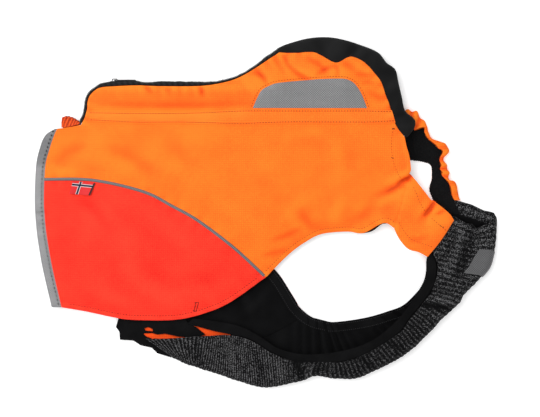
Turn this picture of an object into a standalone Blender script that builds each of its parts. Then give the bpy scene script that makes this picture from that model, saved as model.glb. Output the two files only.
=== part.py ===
"""A dog's hunting vest, zipped up and laid on its left side on a flat surface.

The neck points to +X, the tail to -X, the spine zip to +Y and the belly to -Y. The left side
lies on the surface at z = 0 and the right side lies over it. Tables and sizes here are in
millimetres, and each mesh is scaled to metres when it is made.
"""
import math

import bmesh
import bpy
import numpy as np
from mathutils import Matrix, Vector
from mathutils.geometry import delaunay_2d_cdt

MM = 0.001
CENTRE = (-0.184, -0.496)  # middle of the vest in the tables, which ends up at x = y = 0
SEAM = 0.3                 # space between pieces that are sewn together

# Cloth
SHELL = 1.2
LINING = 1.0
KNIT = 1.8
COLLAR_CLOTH = 1.8
ZIP_TAPE = 1.3
PIPING_WIDTH = 3.6
PIPING_RISE = 1.5
PIPING_EDGE = 0.4
BAND_CLOTH = 0.8
TRIM = 0.6

# Heights of the layers above the surface
FAR_LINING = SHELL + SEAM
FAR_TOP = FAR_LINING + LINING
HEM_HEIGHT = 7.0           # underside of the upper layer at its hem and leg hole
BODY_HEIGHT = 21.0         # underside of the upper layer over the middle of the body
STRAP_HEIGHT = 13.5        # underside of the upper shoulder strap
SPINE_DROP = 4.0           # how far the upper layer bends down towards the spine
TAIL_SHARE = 0.35          # share of the rise that is left at the tail opening
HEM_REACH = 120.0
TAIL_REACH = 130.0
SPINE_REACH = 35.0
STRAP_START = (100.0, 80.0)  # x and y where the upper layer begins to turn into the strap
STRAP_REACH = 60.0
SHELL_LIFT = LINING + 2 * SEAM
SHELL_TOP = SHELL_LIFT + SHELL
TRIM_LIFT = SHELL_TOP + 0.45

# Spacing of the points in the cloth
SHELL_STEP = 15.0
STRAP_STEP = 10.5
LINING_STEP = 24.0
LINING_INSET = 2.2         # how far the lining stays inside the shell's edge
FAR_LINING_INSET = 1.2
TRIM_STEP = 9.0
PIPING_STEP = 11.0
FLAT_STEP = 22.0
CURVE_STEP = 3.0
SLOPE_STEP = 1.5

# Colours
ORANGE = (0.93, 0.22, 0.03)
RED = (0.93, 0.06, 0.03)
SILVER = (0.33, 0.33, 0.33)
DARK_SILVER = (0.1, 0.1, 0.1)
BLACK = (0.008, 0.008, 0.009)
CHARCOAL = (0.02, 0.02, 0.022)
MELANGE = (0.04, 0.04, 0.045)
METAL = (0.25, 0.25, 0.26)
NAVY = (0.02, 0.03, 0.12)

# Reflective tape at the tail opening, columns y, outer x and inner x
TAIL = [(104, -264, -261), (96, -276, -264.5), (80, -283, -270), (54, -288, -276),
        (0, -289, -277), (-58, -282, -269.5), (-119, -269, -256.5)]

# Outline of the upper layer, columns x and y
FLANK_HEM = [(-256.5, -119), (-226, -124), (-182, -133), (-150, -135), (-111, -134),
             (-77, -126), (-45, -112), (-1, -81)]
LEG_EDGE = [(-1, -81), (26, -54), (47, -38), (69, -27), (101, -24), (121, -26), (142, -15),
            (151, -14), (159, -20)]
STRAP_LOWER = [(159, -20), (166, -34), (177, -46), (190, -50), (201, -56)]
STRAP_END = [(201, -56), (218, -35), (234, -10)]
STRAP_UPPER = [(234, -10), (224, 3), (212, 12), (206, 15), (198, 26), (190, 38), (178, 48)]
STRAP_SEAM = [(178, 48), (169, 14), (159, -20)]
NECK_EDGE = [(178, 48), (180, 54), (178, 69), (174, 83), (172, 93)]
PIPING = [(-276.5, 41), (-231, 41), (-204, 38), (-172, 31), (-144, 22), (-118, 8), (-86, -10),
          (-42, -43), (-1, -81)]
TAIL_TOP = [(-231, 109), (-246, 106), (-261, 104)]
SPINE_EDGE = [(-231, 109), (-226, 120), (-223.5, 130), (-223, 138), (-219, 147), (-208, 155),
              (-188, 157), (-160, 158), (-133, 157), (-88, 157), (-61, 160), (-36, 167),
              (-13, 180), (2, 190), (16, 199)]
ZIP_FOLD = [(-234, 112.5), (-230.5, 121), (-228, 130), (-227, 139), (-223, 149), (-210, 159),
            (-188, 161), (-158, 161.5), (-133, 163.5), (-88, 163), (-64, 164.5), (-37, 172),
            (-15, 184.5), (-2, 195), (12, 204)]
COLLAR_SEAM = [(16, 199), (34, 198), (57, 199), (68, 195), (86, 186), (100, 192), (108, 193),
               (122, 186), (135, 172), (143, 161), (147, 149), (153, 133), (160, 110), (172, 93)]
COLLAR_EDGE = [(13, 204.5), (25, 210), (50, 217), (74, 219), (95, 216), (115, 210), (139, 200),
               (150, 187), (161, 178), (165, 161), (169, 144), (173, 127), (183, 118),
               (186, 112), (184, 104), (176, 94)]
COLLAR_FOLD = (10.4, 8.4)  # heights where the two halves meet along the spine
COLLAR_PARTING = (4.0, 5.5)  # how far the upper half rises and the lower one sinks past there
COLLAR_ROUNDNESS = 2.4
NECK_START = 0.5           # share of the collar's edge where the neck opening begins
NECK_REACH = 0.2

# Band round the chest, columns x, upper y and lower y
BAND = [(-221, 126, 113), (-166, 125, 110), (-112, 125, 110), (-71, 126, 109), (-31, 128, 108),
        (20, 128, 110), (88, 128, 110), (126, 128, 110), (153, 127, 111)]

# Reflective patch on the saddle, above the band
PATCH = [(-17, 129.5), (-12, 141), (-6, 151), (4, 157), (18, 161), (61, 165), (88, 166),
         (100, 165), (108, 161), (114, 154), (119, 145), (125, 129.5)]

# Lower layer where it shows past the upper one
FAR_HEM = [(-257, -117), (-221, -121), (-189, -128), (-173, -137), (-158, -151), (-146, -160),
           (-127, -166), (-108, -172), (-77, -173), (-40, -168), (-5.4, -157.6),
           (23.2, -142.9), (44, -129.4)]
FAR_LEG = [(44, -129.4), (38, -115), (29, -100), (17, -81), (2, -62), (-6, -35), (2, -4), (29, 21),
           (79, 40), (129, 55), (172, 66)]
FAR_NECK = [(172, 66), (172, 93)]
FAR_PIPING_END = [(-86, -10), (-42, -36), (2, -62)]
FACING_EDGE = [(-262, -97), (-221, -102), (-189, -107), (-150, -116), (-110, -128), (-70, -137),
               (-46, -146), (-42, -167)]
FACING_END = -42.0         # where the orange facing stops and the lining reaches the hem
FAR_BINDING = 3.8          # height of the binding over the surface
FAR_BINDING_WIDTH = 13.0

# Folds that stand up from the upper layer: both ends, height and half width
FOLDS = [
    (186, 36, 163, 4, 3.5, 13),
    (222, -4, 196, -32, 3.5, 13),
    (-18, 168, 20, 149, 2.2, 15),
    (-22, 142, 4, 134, 1.6, 14),
    (88, 182, 94, 150, 2.0, 13),
    (-236, 88, -196, 66, 2.4, 20),
    (-140, 66, -82, 34, 2.2, 22),
    (-190, -30, -160, -66, 2.0, 24),
    (-120, 96, -60, 90, 1.8, 20),
    (20, -20, 90, 6, 2.2, 22),
]

# Bib, a row for each section from the neck to the belly: upper edge, fold, lower edge, height
BIB = [
    (226, -4, 287.7, -13, 232, 13.5, 11.5),
    (207, -30, 287, -38, 219, -12, 11.5),
    (207, -47, 284, -52, 212, -32, 12.0),
    (214, -67, 278, -70, 204, -54, 14.5),
    (209, -92, 263, -86.5, 203, -72, 17.0),
    (199, -109, 246.5, -104, 198, -90, 18.0),
    (195, -114, 241, -113, 193, -96, 18.2),
    (180, -132, 218, -135, 173, -116, 19.0),
    (166, -150, 197, -157, 151, -125, 20.0),
    (144, -165, 173, -178, 127, -132, 20.0),
    (119, -179, 142, -195, 104, -136, 19.0),
    (94, -187, 111, -206, 83, -138, 18.0),
    (36, -187, 46, -211, 46, -132, 17.0),
    (7, -176, 21, -216, 23, -145, 16.0),
    (-21, -160, -6, -219, -6, -159, 13.0),
    (-47, -154, -39, -210, -39, -170, 10.0),
    (-74, -155, -72, -199, -77, -176, 9.0),
    (-105, -157, -92, -193, -98.5, -176, 8.5),
    (-130, -158.5, -105, -188, -118, -172.5, 8.0),
    (-152, -159, -117, -182, -138, -168, 7.5),
]
BIB_BEND = 0.42            # largest share of a section's width that its fold takes up
BIB_RIBS = 82
RIB_RISE = 0.8
BIB_LIP = (12.0, 7.0)      # sag of the mouth's upper side, swell of its lower side
LIP_REACH = 0.095          # share of the bib's length that the lip's curve reaches over
BIB_PATCH = (0.066, 0.14)  # share of the bib's length that the reflective patch covers

# Binding round the upper leg hole: inner edge, outer edge and top height
BINDING = [
    (206, -44, 206, -48, 10.5),
    (200, -58, 211.5, -62, 13.0),
    (199, -73, 212, -76, 15.5),
    (196, -86, 208, -92, 17.0),
    (188, -100, 198, -108, 18.0),
    (172, -124, 179, -131, 19.0),
    (153, -144, 165, -149.5, 20.0),
    (131, -160, 143, -165, 20.0),
    (106, -170, 118.5, -178.5, 19.0),
    (75, -176, 89, -186.5, 18.0),
    (43, -177, 40, -187, 17.0),
    (15, -170, 9, -176, 15.5),
    (-9, -155, -20, -159, 12.5),
    (-33, -143, -45, -153, 9.5),
    (-62, -137, -66, -149, 6.8),
    (-92, -133, -99, -140, 6.7),
]
BINDING_CLOTH = 1.8
BINDING_CROWN = 0.5

# Lower shoulder strap, a row for each section: hole edge, inside of the roll, outer edge
FAR_STRAP = [
    (172.8, 68, 173.6, 121, 174.4, 127),
    (184, 66, 183, 118, 187, 125),
    (194, 65, 189, 108, 197, 113),
    (203, 62.5, 196, 97, 204, 100),
    (207.5, 57, 205, 85, 213, 90),
    (208, 50, 216, 78, 227, 80),
    (208, 44, 218, 66, 226, 66),
    (207, 38, 218, 52, 227, 50),
    (206, 30, 222, 40, 232, 41),
    (208, 22, 229, 28, 237, 31),
    (211, 14, 230, 16, 240, 18.5),
]
ROLL_HEIGHT = 10.0
FAR_STRAP_SECTIONS = 20

# Gathered tab at the tail end of the zip: seam side and free side
TAB = [(-256, 104.6, -255, 117), (-250, 105.2, -250, 120), (-243, 106.4, -243, 119.5),
       (-237.5, 107.6, -238.5, 116)]
TAB_GATHERS = 5
TAB_RIPPLE = 0.8

# Black elastic straps at the belly, columns x and y
BELLY_REAR = [(-187, -122), (-186, -134), (-189, -144), (-184.5, -150), (-184, -160),
              (-167, -161), (-158, -167), (-144, -170), (-137, -177), (-121, -182),
              (-134, -173), (-155.5, -160), (-159, -155), (-157.5, -150), (-155.5, -140),
              (-155.5, -122)]
BELLY_FRONT = [(-154, -122), (-154, -141), (-148, -143), (-141, -147.5), (-147, -151.5),
               (-137, -153.5), (-127, -152.5), (-110.6, -156), (-95.6, -156.5), (-77, -153.8),
               (-87, -145), (-100.6, -137), (-101, -122)]
BELLY_CLOTH = 1.2

LABEL = [(-241, 37.5), (-245, 23), (-219, 21), (-213, 35)]
LABEL_LIFT = 1.2           # how far its free edge stands off the flank

# Zip slider and its pull
SLIDER_X = -190.0
SLIDER_LENGTH = 11.0
SLIDER_WIDTH = 8.0
SLIDER_DEPTH = 2.6
SLIDER_CORNER = 1.8
SLIDER_GAP = 0.4
BRIDGE_SPAN = 7.0
BRIDGE_BAR = 1.0
BRIDGE_WIDTH = 1.8
BRIDGE_ROOT = 0.4          # how far its feet reach into the slider
PIVOT_RISE = 1.15
PULL_LENGTH = 27.0
PULL_WIDTH = 7.0
PULL_THICK = 1.2
PULL_CORNER = 1.1
PULL_EYE_WIDTH = 3.4
PULL_EYE_LENGTH = 5.2
ZIP_SECTIONS = 34
ZIP_START = 112.0          # y where the zip begins, next to the tab
EDGE_GAP = 1.1             # space between the upper cloth and what turns round its edge
COLLAR_SECTIONS = 24


def spaced(rows, step):
    """Points along a line of points, a step apart, or as many as a whole number says."""
    rows = np.array(rows, dtype=float)
    travelled = np.concatenate([[0], np.cumsum(np.linalg.norm(np.diff(rows[:, :2], axis=0),
                                                              axis=1))])
    count = step if isinstance(step, int) else max(2, int(round(travelled[-1] / step)) + 1)
    places = np.linspace(0, travelled[-1], count)
    return np.column_stack([np.interp(places, travelled, column) for column in rows.T])


def smooth(points, step=CURVE_STEP):
    """Points on a smooth open curve that runs through the given points."""
    rows = [np.array(point, dtype=float) for point in points]
    ends = [2 * rows[0] - rows[1]] + rows + [2 * rows[-1] - rows[-2]]
    dense = [rows[0]]
    for before, start, stop, after in zip(ends, ends[1:], ends[2:], ends[3:]):
        for share in (np.arange(8) + 1) / 8:
            dense.append(0.5 * (2 * start + (stop - before) * share
                                + (2 * before - 5 * start + 4 * stop - after) * share ** 2
                                + (3 * start - before - 3 * stop + after) * share ** 3))
    return spaced(dense, step)


def cut(line, y, upper):
    """The part of a line above or below a height y in the plane, with its new end on it."""
    rows, kept = np.array(line), []
    for start, stop in zip(rows, rows[1:]):
        if (start[1] >= y) == upper:
            kept.append(start)
        if (start[1] >= y) != (stop[1] >= y):
            kept.append(start + (stop - start) * (y - start[1]) / (stop[1] - start[1]))
    if (rows[-1][1] >= y) == upper:
        kept.append(rows[-1])
    return np.array(kept)


def outline(*edges, step):
    """A closed outline from lines that follow on each other."""
    points = []
    for edge in edges:
        points.extend(tuple(float(value) for value in point) for point in spaced(edge, step)[:-1])
    return points


def inset(points, amount):
    """A closed outline moved inwards."""
    rows = np.array(points)
    ahead = np.roll(rows, -1, axis=0) - rows
    ahead /= np.linalg.norm(ahead, axis=1)[:, None]
    square = np.column_stack([-ahead[:, 1], ahead[:, 0]])
    area = np.sum(rows[:, 0] * np.roll(rows[:, 1], -1) - np.roll(rows[:, 0], -1) * rows[:, 1])
    square *= math.copysign(1, area)
    mitre = square + np.roll(square, 1, axis=0)
    mitre /= np.maximum(np.linalg.norm(mitre, axis=1), 0.5)[:, None]
    stretch = np.maximum(np.sum(mitre * square, axis=1), 0.6)
    return [tuple(point) for point in rows + mitre * (amount / stretch)[:, None]]


def beside(line, amount):
    """A line moved to its left."""
    rows = np.array(line, dtype=float)
    ahead = np.gradient(rows, axis=0)
    ahead /= np.linalg.norm(ahead, axis=1)[:, None]
    return rows + amount * np.column_stack([-ahead[:, 1], ahead[:, 0]])


def ease(value):
    value = min(max(value, 0.0), 1.0)
    return 1 - (1 - value) ** 2


def blend(value):
    value = min(max(value, 0.0), 1.0)
    return value * value * (3 - 2 * value)


def lookup(rows, key, value):
    """A function that reads one column of a line from another."""
    rows = np.array(sorted((row[key], row[value]) for row in rows))
    return lambda place: float(np.interp(place, rows[:, 0], rows[:, 1]))


TAIL_EDGE = smooth([(outer, y) for y, outer, _ in TAIL])
TAPE_SEAM = smooth([(inner, y) for y, _, inner in TAIL])
hem_at = lookup(np.vstack([smooth(FLANK_HEM), smooth(LEG_EDGE)]), 0, 1)
SPINE_LINE = np.vstack([smooth(SPINE_EDGE), smooth(COLLAR_EDGE[:12])])
tail_at = lookup(TAIL_EDGE, 1, 0)


def near_height(x, y):
    """Underside of the upper layer: high over the body, low at its hem and tail opening."""
    tail = TAIL_SHARE + (1 - TAIL_SHARE) * ease((x - tail_at(y)) / TAIL_REACH)
    rise = (BODY_HEIGHT - HEM_HEIGHT) * ease((y - hem_at(x)) / HEM_REACH) * tail
    away = float(np.min(np.linalg.norm(SPINE_LINE - (x, y), axis=1)))
    body = HEM_HEIGHT + rise - SPINE_DROP * tail * max(0.0, 1 - away / SPINE_REACH) ** 2
    strap = (blend((x - STRAP_START[0]) / STRAP_REACH)
             * blend((STRAP_START[1] - y) / STRAP_REACH))
    return body + (STRAP_HEIGHT - body) * strap


def fold_height(x, y):
    """How far the folds lift the outer cloth."""
    total = 0.0
    for x0, y0, x1, y1, height, width in FOLDS:
        run, away = Vector((x1 - x0, y1 - y0)), Vector((x - x0, y - y0))
        share = min(max(away.dot(run) / run.length_squared, 0.0), 1.0)
        total += height * math.exp(-((away - share * run).length / width) ** 2)
    return total


def near_point(x, y, lift):
    """A point over the upper layer's underside, measured square to the cloth."""
    step = SLOPE_STEP
    slope_x = (near_height(x + step, y) - near_height(x - step, y)) / (2 * step)
    slope_y = (near_height(x, y + step) - near_height(x, y - step)) / (2 * step)
    return Vector((x, y, near_height(x, y))) + Vector((-slope_x, -slope_y, 1)).normalized() * lift


def cloth_layer(low, high, folded=True):
    """A layer of the upper side between two heights over its underside."""
    def layer(x, y):
        fold = fold_height(x, y) if folded else 0.0
        return near_point(x, y, low + fold), near_point(x, y, high + fold)
    return layer


def flat_layer(low, thickness):
    def layer(x, y):
        return Vector((x, y, low)), Vector((x, y, low + thickness))
    return layer


def label_layer(x, y):
    loose = LABEL_LIFT * (LABEL[0][1] - y) / (LABEL[0][1] - LABEL[2][1])
    low = TRIM_LIFT + fold_height(x, y) + max(loose, 0.0)
    return near_point(x, y, low), near_point(x, y, low + TRIM)


def look(name, colour, roughness, metallic=0.0):
    made = bpy.data.materials.new(name)
    made.use_nodes = True
    shader = made.node_tree.nodes["Principled BSDF"]
    shader.inputs["Base Color"].default_value = (*colour, 1)
    shader.inputs["Roughness"].default_value = roughness
    shader.inputs["Metallic"].default_value = metallic
    made.diffuse_color = (*colour, 1)
    return made


def finish(name, piece, material):
    """An object in metres from a closed bmesh in millimetres."""
    bmesh.ops.recalc_face_normals(piece, faces=piece.faces[:])
    bmesh.ops.translate(piece, vec=(-CENTRE[0], -CENTRE[1], 0), verts=piece.verts[:])
    bmesh.ops.scale(piece, vec=(MM, MM, MM), verts=piece.verts[:])
    mesh = bpy.data.meshes.new(name)
    piece.to_mesh(mesh)
    piece.free()
    mesh.materials.append(material)
    made = bpy.data.objects.new(name, mesh)
    bpy.context.collection.objects.link(made)
    return made


def is_inside(x, y, points):
    found = False
    for (x0, y0), (x1, y1) in zip(points, points[1:] + points[:1]):
        if (y0 > y) != (y1 > y) and x < (x1 - x0) * (y - y0) / (y1 - y0) + x0:
            found = not found
    return found


def inner_grid(border, step):
    """Points in even rows inside an outline, clear of its edge."""
    edge, height, grid = np.array(border), step * 0.87, []
    low, high = edge.min(axis=0), edge.max(axis=0)
    for row in range(int((high[1] - low[1]) / height) + 1):
        for column in range(int((high[0] - low[0]) / step) + 1):
            x = low[0] + (column + 0.5 * (row % 2)) * step
            y = low[1] + row * height
            clear = np.min(np.linalg.norm(edge - (x, y), axis=1)) > step * 0.55
            if clear and is_inside(x, y, border):
                grid.append((x, y))
    return grid


def plate(name, border, layer, material, step=None):
    """A wall of cloth over an outline. The layer gives its underside and its top."""
    grid = inner_grid(border, step) if step else []
    places = [Vector(point) for point in border + grid]
    ring = [(index, (index + 1) % len(border)) for index in range(len(border))]
    points, _, faces, *_ = delaunay_2d_cdt(places, ring, [], 1, 1e-4)
    piece = bmesh.new()
    pairs = [layer(point.x, point.y) for point in points]
    under = [piece.verts.new(pair[0]) for pair in pairs]
    over = [piece.verts.new(pair[1]) for pair in pairs]
    sides = set()
    for face in faces:
        piece.faces.new([over[index] for index in face])
        piece.faces.new([under[index] for index in reversed(face)])
        sides.update(zip(face, list(face[1:]) + list(face[:1])))
    for start, stop in sides:
        if (stop, start) not in sides:
            piece.faces.new([under[start], under[stop], over[stop], over[start]])
    loose = [vert for vert in piece.verts if not vert.link_faces]
    bmesh.ops.delete(piece, geom=loose, context="VERTS")
    return finish(name, piece, material)


def wall(name, outer, inner, material):
    """A wall between two grids of points with the same rows and columns."""
    piece = bmesh.new()
    front = [[piece.verts.new(point) for point in row] for row in outer]
    back = [[piece.verts.new(point) for point in row] for row in inner]
    rows, columns = len(front) - 1, len(front[0]) - 1
    for grid in (front, back):
        for row in range(rows):
            for column in range(columns):
                piece.faces.new([grid[row][column], grid[row][column + 1],
                                 grid[row + 1][column + 1], grid[row + 1][column]])
    for row in range(rows):
        for column in (0, columns):
            piece.faces.new([front[row][column], front[row + 1][column],
                             back[row + 1][column], back[row][column]])
    for column in range(columns):
        for row in (0, rows):
            piece.faces.new([front[row][column], front[row][column + 1],
                             back[row][column + 1], back[row][column]])
    return finish(name, piece, material)


def moved(path, side, amount):
    """A path moved in its own upright plane, whose sideways direction is given."""
    result = []
    for index, point in enumerate(path):
        along = path[min(index + 1, len(path) - 1)] - path[max(index - 1, 0)]
        result.append(point + along.normalized().cross(side) * amount)
    return result


def edge_fold(name, seam, fold, material, ripple=0.0):
    """Cloth that turns from the upper layer round the edge of the vest to the lower one."""
    outer, inner = [], []
    for index, (start, crest) in enumerate(zip(seam, fold)):
        reach = Vector((*(crest - start), 0))
        out = reach.normalized()
        half = (near_height(*start) + SHELL_TOP) / 2
        swell = reach.length - EDGE_GAP + (ripple if index % 2 else 0.0)
        root = Vector((*start, half)) + out * EDGE_GAP
        turns = [math.pi * turn / 6 for turn in range(7)]
        outer.append([root + out * swell * math.sin(turn)
                      + Vector((0, 0, half * math.cos(turn))) for turn in turns])
        inner.append([root + out * (swell - ZIP_TAPE) * math.sin(turn)
                      + Vector((0, 0, (half - ZIP_TAPE) * math.cos(turn))) for turn in turns])
    return wall(name, outer, inner, material)


def make_side(looks):
    """The orange, red and silver pieces of the upper side, with their lining."""
    spine, neck, middle = smooth(SPINE_EDGE), smooth(NECK_EDGE), band_middle()
    collar, piping, leg, hem = (smooth(line) for line in (COLLAR_SEAM, PIPING, LEG_EDGE,
                                                          FLANK_HEM))
    split = middle[0][1], middle[-1][1]
    layer = cloth_layer(SHELL_LIFT, SHELL_TOP)

    whole = outline(TAIL_EDGE, [TAIL_EDGE[-1], hem[0]], hem, leg, STRAP_SEAM[::-1], neck,
                    collar[::-1], spine[::-1], smooth(TAIL_TOP), [TAPE_SEAM[0], TAIL_EDGE[0]],
                    step=SHELL_STEP)
    plate("lining_right", inset(whole, LINING_INSET), cloth_layer(0, LINING, folded=False),
          looks["lining"], LINING_STEP)

    red = outline(cut(TAPE_SEAM, PIPING[0][1], upper=False), hem, piping[::-1], step=SHELL_STEP)
    plate("flank_right", inset(red, SEAM / 2), layer, looks["red"], SHELL_STEP)

    side = outline(piping, leg, STRAP_SEAM[::-1], neck, cut(collar, split[1], upper=False)[::-1],
                   middle[::-1], cut(spine, split[0], upper=False)[::-1], smooth(TAIL_TOP),
                   cut(TAPE_SEAM, PIPING[0][1], upper=True), step=SHELL_STEP)
    plate("side_right", inset(side, SEAM / 2), layer, looks["orange"], SHELL_STEP)

    saddle = outline(middle, cut(collar, split[1], upper=True)[::-1],
                     cut(spine, split[0], upper=True)[::-1], step=SHELL_STEP)
    plate("back_right", inset(saddle, EDGE_GAP), layer, looks["orange"], SHELL_STEP)

    strap = outline(smooth(STRAP_LOWER), smooth(STRAP_END), smooth(STRAP_UPPER), STRAP_SEAM,
                    step=STRAP_STEP)
    plate("strap_right", inset(strap, SEAM / 2), cloth_layer(0, SHELL_TOP), looks["orange"],
          STRAP_STEP)

    tape = outline(TAIL_EDGE, [TAIL_EDGE[-1], TAPE_SEAM[-1]], TAPE_SEAM[::-1],
                   [TAPE_SEAM[0], TAIL_EDGE[0]], step=SHELL_STEP)
    plate("tape_right", inset(tape, SEAM / 2), layer, looks["silver"])


def band_middle():
    """The seam under the band, from the spine to the collar."""
    line = [(x, (high + low) / 2) for x, high, low in BAND]
    start, end = line[0][1], line[-1][1]
    left = cut(smooth(SPINE_EDGE), start, upper=True)[0]
    right = cut(smooth(COLLAR_SEAM), end, upper=True)[-1]
    return smooth([tuple(left)] + line + [tuple(right)])


def make_trims(looks):
    """Band, patch, piping and label, which lie on the upper side."""
    upper = smooth([(x, high) for x, high, _ in BAND])
    lower = smooth([(x, low) for x, _, low in BAND])
    strip = outline(lower, [lower[-1], upper[-1]], upper[::-1], [upper[0], lower[0]], step=TRIM_STEP)
    plate("band_right", strip, cloth_layer(TRIM_LIFT, TRIM_LIFT + BAND_CLOTH), looks["orange"])

    patch = smooth(PATCH)
    shape = outline(patch, [patch[-1], patch[0]], step=SHELL_STEP)
    plate("patch_right", shape, cloth_layer(TRIM_LIFT, TRIM_LIFT + TRIM), looks["silver"],
          SHELL_STEP)

    label = outline(*zip(LABEL, LABEL[1:] + LABEL[:1]), step=TRIM_STEP)
    plate("label", label, label_layer, looks["navy"])

    line = spaced(smooth(PIPING)[1:-2], PIPING_STEP)
    across = [math.pi * share / 3 for share in range(4)]
    outer, inner = [], []
    for (x, y), (side_x, side_y) in zip(line, beside(line, 1.0) - line):
        top, base = [], []
        for turn in across:
            out = math.cos(turn) * PIPING_WIDTH / 2
            place = x + side_x * out, y + side_y * out
            low = TRIM_LIFT + fold_height(*place)
            base.append(near_point(*place, low))
            crown = (PIPING_RISE - PIPING_EDGE) * math.sin(turn)
            top.append(near_point(*place, low + PIPING_EDGE + crown))
        outer.append(top)
        inner.append(base)
    wall("piping_right", outer, inner, looks["silver"])


def make_collar(looks):
    """Both halves of the collar, which meet along the spine and part at the neck opening."""
    shares = [math.sin(math.pi / 2 * step / 5) for step in range(6)]
    seam = smooth(COLLAR_SEAM, COLLAR_SECTIONS)
    for name, edge, is_upper in (("collar_right", COLLAR_EDGE, True),
                                 ("collar_left", COLLAR_EDGE[:12], False)):
        outer, inner = [], []
        for index, (start, end) in enumerate(zip(seam, smooth(edge, COLLAR_SECTIONS))):
            parting = blend((index / (COLLAR_SECTIONS - 1) - NECK_START) / NECK_REACH)
            root, reach = Vector((*start, 0)), Vector((*(end - start), 0))
            out = reach.normalized()
            root += out * EDGE_GAP
            reach -= out * EDGE_GAP
            high = near_height(*start) + SHELL_TOP if is_upper else 0.0
            low = (COLLAR_FOLD[0] + parting * COLLAR_PARTING[0] if is_upper
                   else COLLAR_FOLD[1] - parting * COLLAR_PARTING[1])
            path = []
            for share in shares:
                rise = (1 - share ** COLLAR_ROUNDNESS) ** (1 / COLLAR_ROUNDNESS)
                path.append(root + reach * share + Vector((0, 0, low + (high - low) * rise)))
            side = Vector((0, 0, 1)).cross(out)
            outer.append(path)
            inner.append(moved(path, side, -COLLAR_CLOTH if is_upper else COLLAR_CLOTH))
        wall(name, outer, inner, looks["charcoal"])


def make_edge(looks):
    """The zip round the spine and the gathered tab at its tail end."""
    seam = cut(smooth(SPINE_EDGE), ZIP_START, upper=True)
    edge_fold("zip_tape", spaced(seam, ZIP_SECTIONS), smooth(ZIP_FOLD, ZIP_SECTIONS),
              looks["lining"])
    sections = TAB_GATHERS * 2 + 1
    seam = smooth([row[:2] for row in TAB], sections)
    fold = smooth([row[2:] for row in TAB], sections)
    edge_fold("tab", seam, fold, looks["red"], TAB_RIPPLE)


def bib_section(row, lip):
    """The outer side of one section of the bib, from its lower edge round the fold."""
    upper = Vector((row[0], row[1], 0))
    fold = Vector((row[2], row[3], 0))
    lower = Vector((row[4], row[5], 0))
    height = row[6]
    bend = min(height / 2, BIB_BEND * (fold - upper).length, BIB_BEND * (fold - lower).length)
    floor_end = fold - (fold - lower).normalized() * bend
    top_end = fold - (fold - upper).normalized() * bend
    path = [lower]
    for turn in [math.pi * share / 4 for share in range(4)]:
        chord = floor_end.lerp(top_end, turn / math.pi)
        path.append(chord + (fold - chord) * math.sin(turn)
                    + Vector((0, 0, height / 2 * (1 - math.cos(turn)))))
    path.append(top_end.lerp(upper, 0.3) + Vector((0, 0, height)))
    path.append(upper + Vector((0, 0, height)))
    along = Vector((0, 0, 1)).cross((fold - lower).normalized())
    sag, swell = BIB_LIP
    shift = [0, swell, swell * 0.9, 0, -sag * 0.4, -sag, 0]
    return [point + along * shift[index] * lip for index, point in enumerate(path)]


def bib_sections(count, low=0.0, high=1.0):
    """Sections of the bib, evenly spaced between two shares of its length."""
    table = np.array([(row[2], row[3], *row) for row in BIB])
    dense = smooth(table, 400)
    rows = []
    for share in np.linspace(low, high, count):
        row = dense[int(round(share * 399))][2:]
        lip = 1 - blend(share / LIP_REACH)
        path = bib_section(row, lip)
        side = Vector((0, 0, 1)).cross(Vector((row[2] - row[4], row[3] - row[5], 0)).normalized())
        rows.append((path, side))
    return rows


def make_bib(looks):
    """The ribbed knit bib, its lining, its patch and the bindings of the leg holes."""
    outer, inner = [], []
    for index, (path, side) in enumerate(bib_sections(2 * BIB_RIBS + 1)):
        rise = RIB_RISE if index % 2 else 0.0
        raised = moved(path, side, -rise)
        outer.append(path[:2] + raised[2:])
        inner.append(moved(path, side, KNIT))
    wall("bib", outer, inner, looks["melange"])

    outer, inner = [], []
    for path, side in bib_sections(2 * BIB_RIBS + 1)[2:-1:4]:
        outer.append(moved(path, side, KNIT + 2 * SEAM)[:5])
        inner.append(moved(path, side, KNIT + 2 * SEAM + LINING)[:5])
    wall("bib_lining", outer, inner, looks["lining"])

    outer, inner = [], []
    for path, side in bib_sections(9, *BIB_PATCH):
        outer.append(moved(path, side, -RIB_RISE - 2 * SEAM - TRIM)[3:6])
        inner.append(moved(path, side, -RIB_RISE - 2 * SEAM)[3:6])
    wall("bib_patch", outer, inner, looks["dark_silver"])


def make_bindings(looks):
    outer, inner = [], []
    for inner_x, inner_y, outer_x, outer_y, top in smooth(BINDING, 34):
        row = []
        for share in (0, 1 / 3, 2 / 3, 1):
            crown = BINDING_CROWN * (2 * share - 1) ** 2
            row.append(Vector((inner_x + (outer_x - inner_x) * share,
                               inner_y + (outer_y - inner_y) * share, top - crown)))
        outer.append(row)
        inner.append([point - Vector((0, 0, BINDING_CLOTH)) for point in row])
    wall("binding_right", outer, inner, looks["lining"])


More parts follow.
